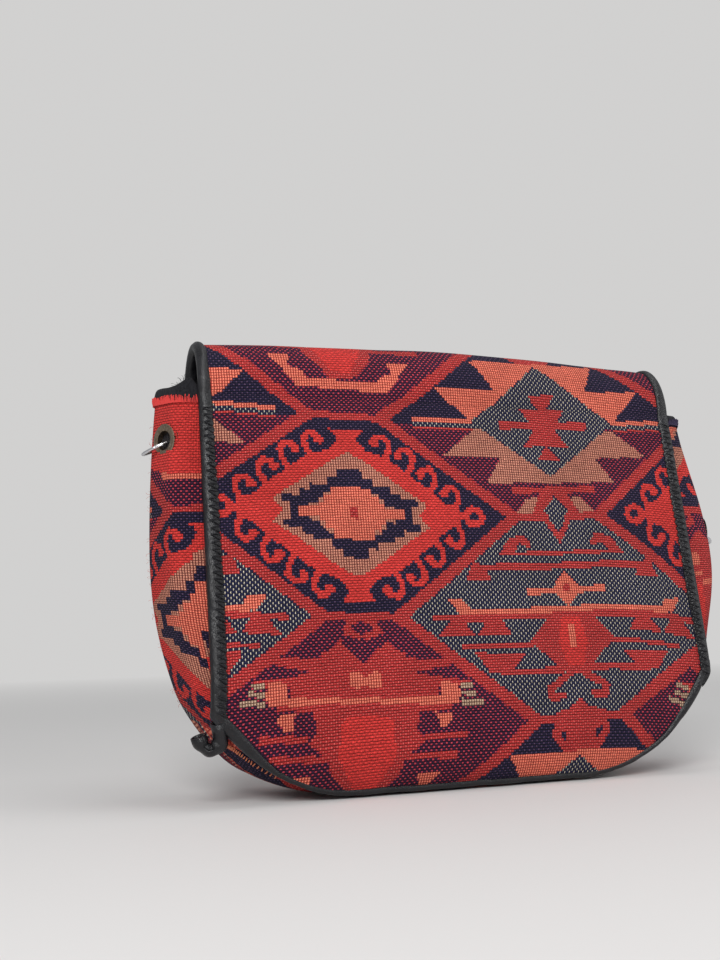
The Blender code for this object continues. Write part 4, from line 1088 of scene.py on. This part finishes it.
for name, frames, side in (("leftWhipStitches", leftFrames, -1), ("rightWhipStitches", rightFrames, 1)):
    place, normal, out, forwardWay, run, vs = frames
    first = run[np.searchsorted(vs, binding["stitchFrom"] + 6 * mm)]
    beats = np.arange(math.ceil(first / binding["stitchPitch"]), run[-1] / binding["stitchPitch"] - 1)
    at = beats * binding["stitchPitch"]
    spot, n, o, f = (np.stack([np.interp(at, run, a[:, k]) for k in range(3)], axis=1)
                     for a in (place, normal, out, forwardWay))
    width = binding["width"] + (binding["rightWider"] if side > 0 else 0.0)
    slim = np.clip(1 - np.interp(at, run, vs) / binding["narrowUntil"], 0, 1)
    reachIn = width - binding["narrowTop"] * slim
    seat = spot - o * (reachIn - binding["stitchIn"])[:, None] + n * binding["stitchUp"]
    lean = unit(n - o * binding["stitchLean"])
    way = f * (1 if side < 0 else -1)
    obj = whip.grow(name, seat, lean, way)
    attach(obj, "bag")

# the bindings' loose end, curled up into a cup under the flap's left corner
curl = {"radius": 3.3 * mm, "wall": 0.8 * mm, "open": 0.02, "spiral": 0.03,
        "line": [(-0.1345, -0.0266, 0.0312), (-0.1326, -0.0260, 0.0268), (-0.1286, -0.0270, 0.0246),
                 (-0.1248, -0.0292, 0.0278)]}
corner = leftFrames[0][-1] - leftFrames[2][-1] * 4 * mm + leftFrames[1][-1] * 3.4 * mm
curl["line"].append(tuple(map(float, corner)))
route = smoothLine(curl["line"], 3)
routeAhead = unit(np.gradient(route, axis=0))
routeSide = unit(np.cross(routeAhead, (0.0, 0.0, 1.0)))
routeUp = np.cross(routeSide, routeAhead)
turns = np.linspace(curl["open"], 2 * math.pi - curl["open"], 40)
along = np.linspace(0, 1, len(route))
roll = curl["radius"] * np.interp(along, (0, 0.35, 1), (1.0, 0.92, 1.0))
roll = roll + 0.3 * mm * np.sin(along * 19)


def curlFace(wall):
    reach = (roll - wall)[:, None] * (1 + curl["spiral"] * turns / math.pi)
    reach = reach * (1 + 0.10 * np.sin(turns * 2 + 0.6))
    return route[:, None] + (routeSide[:, None] * (np.cos(turns) * reach)[..., None]
                             + routeUp[:, None] * (np.sin(turns) * reach)[..., None])


obj = tube("leatherCurl", curlFace(0.0), curlFace(curl["wall"]))
finish(obj, leather, "bag", "black_leather")

# a row of short orange stitches on the body, just under the flap's lower left edge
ticks = {"count": 21, "long": 2.1 * mm, "radius": 0.32 * mm,  # at: u round the section, and z in millimetres
         "at": [(9.27, 9.6), (9.16, 9.3), (9.0, 8.2), (8.85, 6.4), (8.6, 4.2)]}
tick = Graph("orangeTick", plainMaterial("orangeThread", (0.62, 0.20, 0.10), 0.9),
             [("Long", "Float", ticks["long"]), ("Radius", "Float", ticks["radius"]), ("Seed", "Int", 23)])
half = tick.maths("MULTIPLY", tick.value("Long"), 0.5)
low = tick.maths("MULTIPLY", half, -1.0)
tick.plant([tick.thread(tick.vector(0.0003, low, -0.0002), tick.vector(0.0, 0.0, 0.0007),
                        tick.vector(-0.0003, half, -0.0002), tick.value("Radius"), 6, 6)],
           spin=tick.vector(0.0, 0.0, tick.random(-0.35, 0.35, tick.value("Seed"))),
           scale=tick.vector(1.0, tick.random(0.75, 1.15, 5), 1.0))
spots = np.array(ticks["at"])
share = np.linspace(0, 1, len(spots))
want = np.linspace(0, 1, ticks["count"])
tickU, tickZ = np.interp(want, share, spots[:, 0]), np.interp(want, share, spots[:, 1]) * mm
near = np.array([[bodyGrid([u + du], [z + dz])[0][0] for du, dz in ((0, 0), (0.01, 0), (0, 0.2 * mm))]
                 for u, z in zip(tickU, tickZ)])
tickUp = unit(np.cross(near[:, 1] - near[:, 0], near[:, 2] - near[:, 0]))
tickUp *= np.sign(((near[:, 0] - centre) * tickUp).sum(axis=1))[:, None]
obj = tick.grow("orangeTicks", near[:, 0] + tickUp * 0.25 * mm, tickUp, unit(np.gradient(near[:, 0], axis=0)))
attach(obj, "bag")

# ribbon round the mouth, and the zip tapes
print("mouth and zip")
ribbon = {"wave": 0.45 * mm, "endRise": 5.0 * mm, "endX": -0.133, "endWide": 5.5 * mm, "endSteep": 3 * mm,
          "rightDrop": 2.4 * mm, "dropFrom": 0.120, "dropOver": 0.012, "cutWidth": 0.017,
          "tapeHalf": 0.114, "tapeCloth": 0.7 * mm, "tapeFootZ": 0.19315, "tapeTopZ": 0.197,
          "tapeLap": 0.9 * mm, "tapeFromMiddle": 5.75 * mm}
ribbonOuter = [(0.55, -2.6), (0.66, -1.0), (0.62, 1.0), (0.3, 3.2), (-0.45, 4.8), (-1.35, 5.3), (-2.35, 4.8),
               (-3.2, 3.1), (-3.8, 1.0), (-3.9, -1.6)]
ribbonInner = [(0.10, -2.6), (0.16, -1.0), (0.12, 0.8), (-0.15, 2.8), (-0.75, 4.25), (-1.35, 4.7),
               (-2.05, 4.25), (-2.8, 2.8), (-3.38, 0.9), (-3.45, -1.6)]
ribbonU = loopU(520)
mouthRow = bodyGrid(ribbonU, [pouch["mouthZ"] - 1 * mm, pouch["mouthZ"], pouch["mouthZ"] + 1 * mm])
mouthNormal = gridNormals(mouthRow, centre, True)[1]
mouthNormal[:, 2] = 0
mouthNormal = unit(mouthNormal)
mouthRow = mouthRow[1]
mouthRun = runAlong(mouthRow)
offEnd = mouthRow[:, 0] - ribbon["endX"]
endHeap = np.exp(-(offEnd / ribbon["endWide"]) ** 2)
endHeap *= np.where(offEnd > 0, np.exp(-(offEnd / ribbon["endSteep"]) ** 2), 1)


def ribbonFace(line):
    off, up = line[:, 0] * mm, line[:, 1] * mm
    high = np.clip(line[:, 1] / 5.3, 0, 1)
    rise = (ribbon["wave"] * waves(mouthRun, 2.0) + ribbon["endRise"] * endHeap)[:, None] * high
    drop = np.clip((mouthRow[:, 0] - ribbon["dropFrom"]) / ribbon["dropOver"], 0, 1)
    rise = rise - (ribbon["rightDrop"] * drop)[:, None] * high
    sway = ribbon["wave"] * 0.7 * waves(mouthRun, 6.0)[:, None] * high - 1.6 * mm * endHeap[:, None] * high
    sway[:, off > -1.3 * mm] = np.minimum(sway, 0.3 * mm)[:, off > -1.3 * mm]
    found = mouthRow[:, None] + mouthNormal[:, None] * (off + sway)[..., None]
    found[..., 2] += up + rise
    return found


faceOfRibbon = ribbonFace(smoothLine(ribbonOuter, 2))
obj = tube("mouthRibbon", faceOfRibbon, ribbonFace(smoothLine(ribbonInner, 2)), True)
finish(obj, tapeBlack, "bag", "black_tape", "mouth_binding")

# loose fibres: on the ribbon's heaped end, along the wings' folds and on the wings' upper edges
fray = {"ribbonHairs": 110, "ribbonLong": 3.6 * mm, "ribbonThick": 0.08 * mm,
        "foldHairs": 55, "foldLong": 2.2 * mm, "foldThick": 0.07 * mm,
        "edgeStep": 0.42 * mm, "edgeLong": 3.6 * mm, "edgeThick": 0.27 * mm,
        "edgeDown": 3.2 * mm, "edgeOut": 0.75 * mm}
fibres = np.random.default_rng(5)


def hairs(name, material, seats, ups, aheads, long, radius, seed):
    grower = Graph(name, material,
                   [("Long", "Float", long), ("Radius", "Float", radius), ("Seed", "Int", seed)])

    def share(part):
        return grower.maths("MULTIPLY", grower.value("Long"), part)

    strand = grower.thread(grower.vector(0.0, 0.0, -0.0004), grower.vector(share(0.15), 0.0, share(0.75)),
                           grower.vector(share(0.8), 0.0, share(0.7)), grower.value("Radius"), 6, 4)
    size = grower.random(0.35, 1.0, grower.value("Seed"))
    grower.plant([strand], spin=grower.vector(grower.random(-0.5, 0.5, 3), grower.random(-0.5, 0.5, 4),
                                              grower.random(-3.1, 3.1, 9)), scale=size)
    made = grower.grow(name, seats, ups, aheads)
    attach(made, "bag")
    return made


heap = np.flatnonzero(endHeap > 0.25)
pick = fibres.choice(heap, fray["ribbonHairs"])
across = fibres.integers(6, faceOfRibbon.shape[1] - 8, fray["ribbonHairs"])
hairSeats = faceOfRibbon[pick, across]
hairUps = unit(hairSeats - (mouthRow[pick] - mouthNormal[pick] * 1.6 * mm))
obj = hairs("ribbonFibres", threadBlack, hairSeats, hairUps, np.cross(hairUps, (0.3, 0.5, 0.8)),
            fray["ribbonLong"], fray["ribbonThick"], 31)
looseThread = plainMaterial("looseThread", (0.50, 0.12, 0.09), 0.95)
for name, fold, seed in (("leftFray", 12.0, 41), ("rightFray", 24.0, 43)):
    zs = fibres.uniform(0.020, pouch["mouthZ"] - 1 * mm, fray["foldHairs"])
    us = fold + fibres.normal(0.0, 0.25, fray["foldHairs"])
    seats = np.array([bodyGrid([u], [z])[0][0] for u, z in zip(us, zs)])
    ups = unit((seats - (0.0, 0.006, 0.0)) * (1.0, 2.0, 0.0))
    obj = hairs(name, looseThread, seats, ups, np.tile((0.0, 0.0, 1.0), (len(zs), 1)),
                fray["foldLong"], fray["foldThick"], seed)

# the wings' cloth ends in a ragged row of warp threads that stand over the ribbon's lap
for name, span, colour, seed in (("leftRaggedEdge", (8.3, 15.6), (0.62, 0.045, 0.040), 51),
                                 ("rightRaggedEdge", (20.4, 27.7), (0.030, 0.022, 0.055), 53)):
    us = np.linspace(*span, int((runAt(span[1]) - runAt(span[0])) / fray["edgeStep"]))
    foot = pouch["mouthZ"] - fray["edgeDown"]
    row = bodyGrid(us, [foot, foot + 0.2 * mm])
    outward = gridNormals(row, centre)[0]
    edge = Graph(name, plainMaterial(name + "Yarn", colour, 0.95),
                 [("Long", "Float", fray["edgeLong"]), ("Radius", "Float", fray["edgeThick"]),
                  ("Seed", "Int", seed)])
    tallness = edge.value("Long")
    halfway = edge.maths("MULTIPLY", tallness, 0.5)
    warpEnd = edge.thread(edge.vector(0.0, 0.0, 0.0), edge.vector(0.0, 0.0, halfway),
                          edge.vector(0.0, 0.0003, tallness), edge.value("Radius"), 3, 5)
    edge.plant([warpEnd], spin=edge.vector(edge.random(-0.06, 0.06, 3), edge.random(-0.22, 0.22, 4), 0.0),
               scale=edge.vector(1.0, 1.0, edge.random(0.45, 1.15, edge.value("Seed"))))
    obj = edge.grow(name, row[0] + outward * fray["edgeOut"], np.tile((0.0, 0.0, 1.0), (len(us), 1)),
                    unit(np.gradient(row[0], axis=0)))
    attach(obj, "bag")

middleY = float(frontY(pouch["mouthZ"]) + backY(pouch["mouthZ"])) / 2
for name, node, side in (("zipTapeFront", "zip_tape_front", -1), ("zipTapeBack", "zip_tape_back", 1)):
    span = (3, 9) if side < 0 else (15, 21)
    wall = bodyGrid(np.linspace(span[0] - 1, span[1] + 1, 200), [pouch["mouthZ"]])[0]
    order = np.argsort(wall[:, 0])
    xs = np.linspace(-ribbon["tapeHalf"], ribbon["tapeHalf"], 160)
    foot = np.interp(xs, wall[order, 0], wall[order, 1]) - side * ribbon["tapeLap"]
    reachY = middleY + side * ribbon["tapeFromMiddle"]
    t = np.linspace(0, 1, 14)
    y = foot[:, None] + (reachY - foot)[:, None] * t
    z = ribbon["tapeFootZ"] + (ribbon["tapeTopZ"] - ribbon["tapeFootZ"]) * np.sin(t * math.pi / 2) + 0 * y
    z = z + 0.25 * mm * waves(xs, side * 2.0)[:, None] * np.sin(t * math.pi)
    top = np.stack((xs[:, None] + 0 * y, y, z), axis=-1)
    slope = unit(np.cross(np.gradient(top, axis=0), np.gradient(top, axis=1)))
    slope *= np.sign(slope[..., 2:].sum())
    obj = tube(name, top, top - slope * ribbon["tapeCloth"])
    finish(obj, tapeBlack, "bag", "black_tape", node)

# metal
metalStarts = {"eyelet": brass, "ring": wire, "zip_teeth": zipBrass, "zip_slider": zipBrass,
               "zip_pull": zipBrass, "zip_bottom": zipBrass, "zip_top": zipBrass}
for node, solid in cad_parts.items():
    for start, metal in metalStarts.items():
        if node.startswith(start):
            for place in solid.material_slots:
                place.material = metal

# camera, lamps and floor
print("camera and light")
# the floor fades to the background's colour between these distances, in metres
background = {"colour": (0.64, 0.635, 0.63, 1.0), "fade": (0.35, 1.6)}
view = {"focalPixels": 1090.8, "place": (-0.2314, -0.5081, 0.075),
        "yaw": 0.3485, "pitch": 0.1373, "roll": -0.026}
lamps = {"keyLamp": ((-0.6, -1.1, 0.85), 0.7, 16.0), "topLamp": ((0.3, -0.2, 1.4), 0.8, 4.0),
         "fillLamp": ((1.0, -0.7, 0.5), 0.6, 3.0)}  # place, size and watts; all point at the bag's middle


def makeCamera():
    data = bpy.data.cameras.new("camera")
    data.lens = view["focalPixels"] * 36.0 / 960.0
    data.sensor_width = 36.0
    data.clip_start, data.clip_end = 0.01, 50.0
    cam = bpy.data.objects.new("camera", data)
    scene.collection.objects.link(cam)
    yaw, pitch, roll = view["yaw"], view["pitch"], view["roll"]
    ahead = Vector((math.sin(yaw) * math.cos(pitch), math.cos(yaw) * math.cos(pitch), math.sin(pitch)))
    right = Vector((math.cos(yaw), -math.sin(yaw), 0.0))
    up = right.cross(ahead)
    r = right * math.cos(roll) + up * math.sin(roll)
    u = up * math.cos(roll) - right * math.sin(roll)
    turn = Matrix((r, u, -ahead)).transposed().to_4x4()
    cam.matrix_world = Matrix.Translation(view["place"]) @ turn
    scene.camera = cam


def areaLamp(name, place, target, size, power):
    data = bpy.data.lights.new(name, "AREA")
    data.shape = "DISK"
    data.size = size
    data.energy = power
    lamp = bpy.data.objects.new(name, data)
    scene.collection.objects.link(lamp)
    lamp.location = place
    lamp.rotation_euler = (Vector(target) - Vector(place)).to_track_quat("-Z", "Y").to_euler()


def makeStage():
    bpy.ops.mesh.primitive_circle_add(vertices=96, radius=6.0, fill_type="NGON", location=(0, 0, 0))
    floor = bpy.context.object
    floor.name = "floor"
    floor.data.transform(Matrix.Translation((0, 0, -0.0002)))
    pale = Wires("paleFloor")
    pale.set(Base_Color=(0.66, 0.65, 0.64, 1.0), Roughness=0.8)
    away = pale.node("VectorMath", operation="LENGTH")
    pale.link(pale.place(), away.inputs[0])
    far = pale.ramp(away.outputs["Value"], 0.0, 1.0, *background["fade"])
    seen = pale.node("LightPath").outputs["Is Camera Ray"]
    glow = pale.node("Emission")
    glow.inputs["Color"].default_value = background["colour"]
    blend = pale.node("MixShader")
    pale.link(pale.maths("MULTIPLY", far, seen), blend.inputs[0])
    pale.link(pale.shader.outputs[0], blend.inputs[1])
    pale.link(glow.outputs[0], blend.inputs[2])
    pale.link(blend.outputs[0], pale.tree.nodes["Material Output"].inputs["Surface"])
    floor.data.materials.append(pale.material)
    world = bpy.data.worlds.new("studio")
    scene.world = world
    world.use_nodes = True
    nodes, links = world.node_tree.nodes, world.node_tree.links
    plain = nodes["Background"]
    plain.inputs["Color"].default_value = (0.93, 0.94, 0.96, 1)
    plain.inputs["Strength"].default_value = 0.42
    behind = nodes.new("ShaderNodeBackground")
    behind.inputs["Color"].default_value = background["colour"]
    behind.inputs["Strength"].default_value = 1.0
    path = nodes.new("ShaderNodeLightPath")
    mixed = nodes.new("ShaderNodeMixShader")
    links.new(path.outputs["Is Camera Ray"], mixed.inputs[0])
    links.new(plain.outputs[0], mixed.inputs[1])
    links.new(behind.outputs[0], mixed.inputs[2])
    links.new(mixed.outputs[0], nodes["World Output"].inputs["Surface"])


makeCamera()
makeStage()
for name, (place, size, power) in lamps.items():
    areaLamp(name, place, (0, 0, 0.1), size, power)
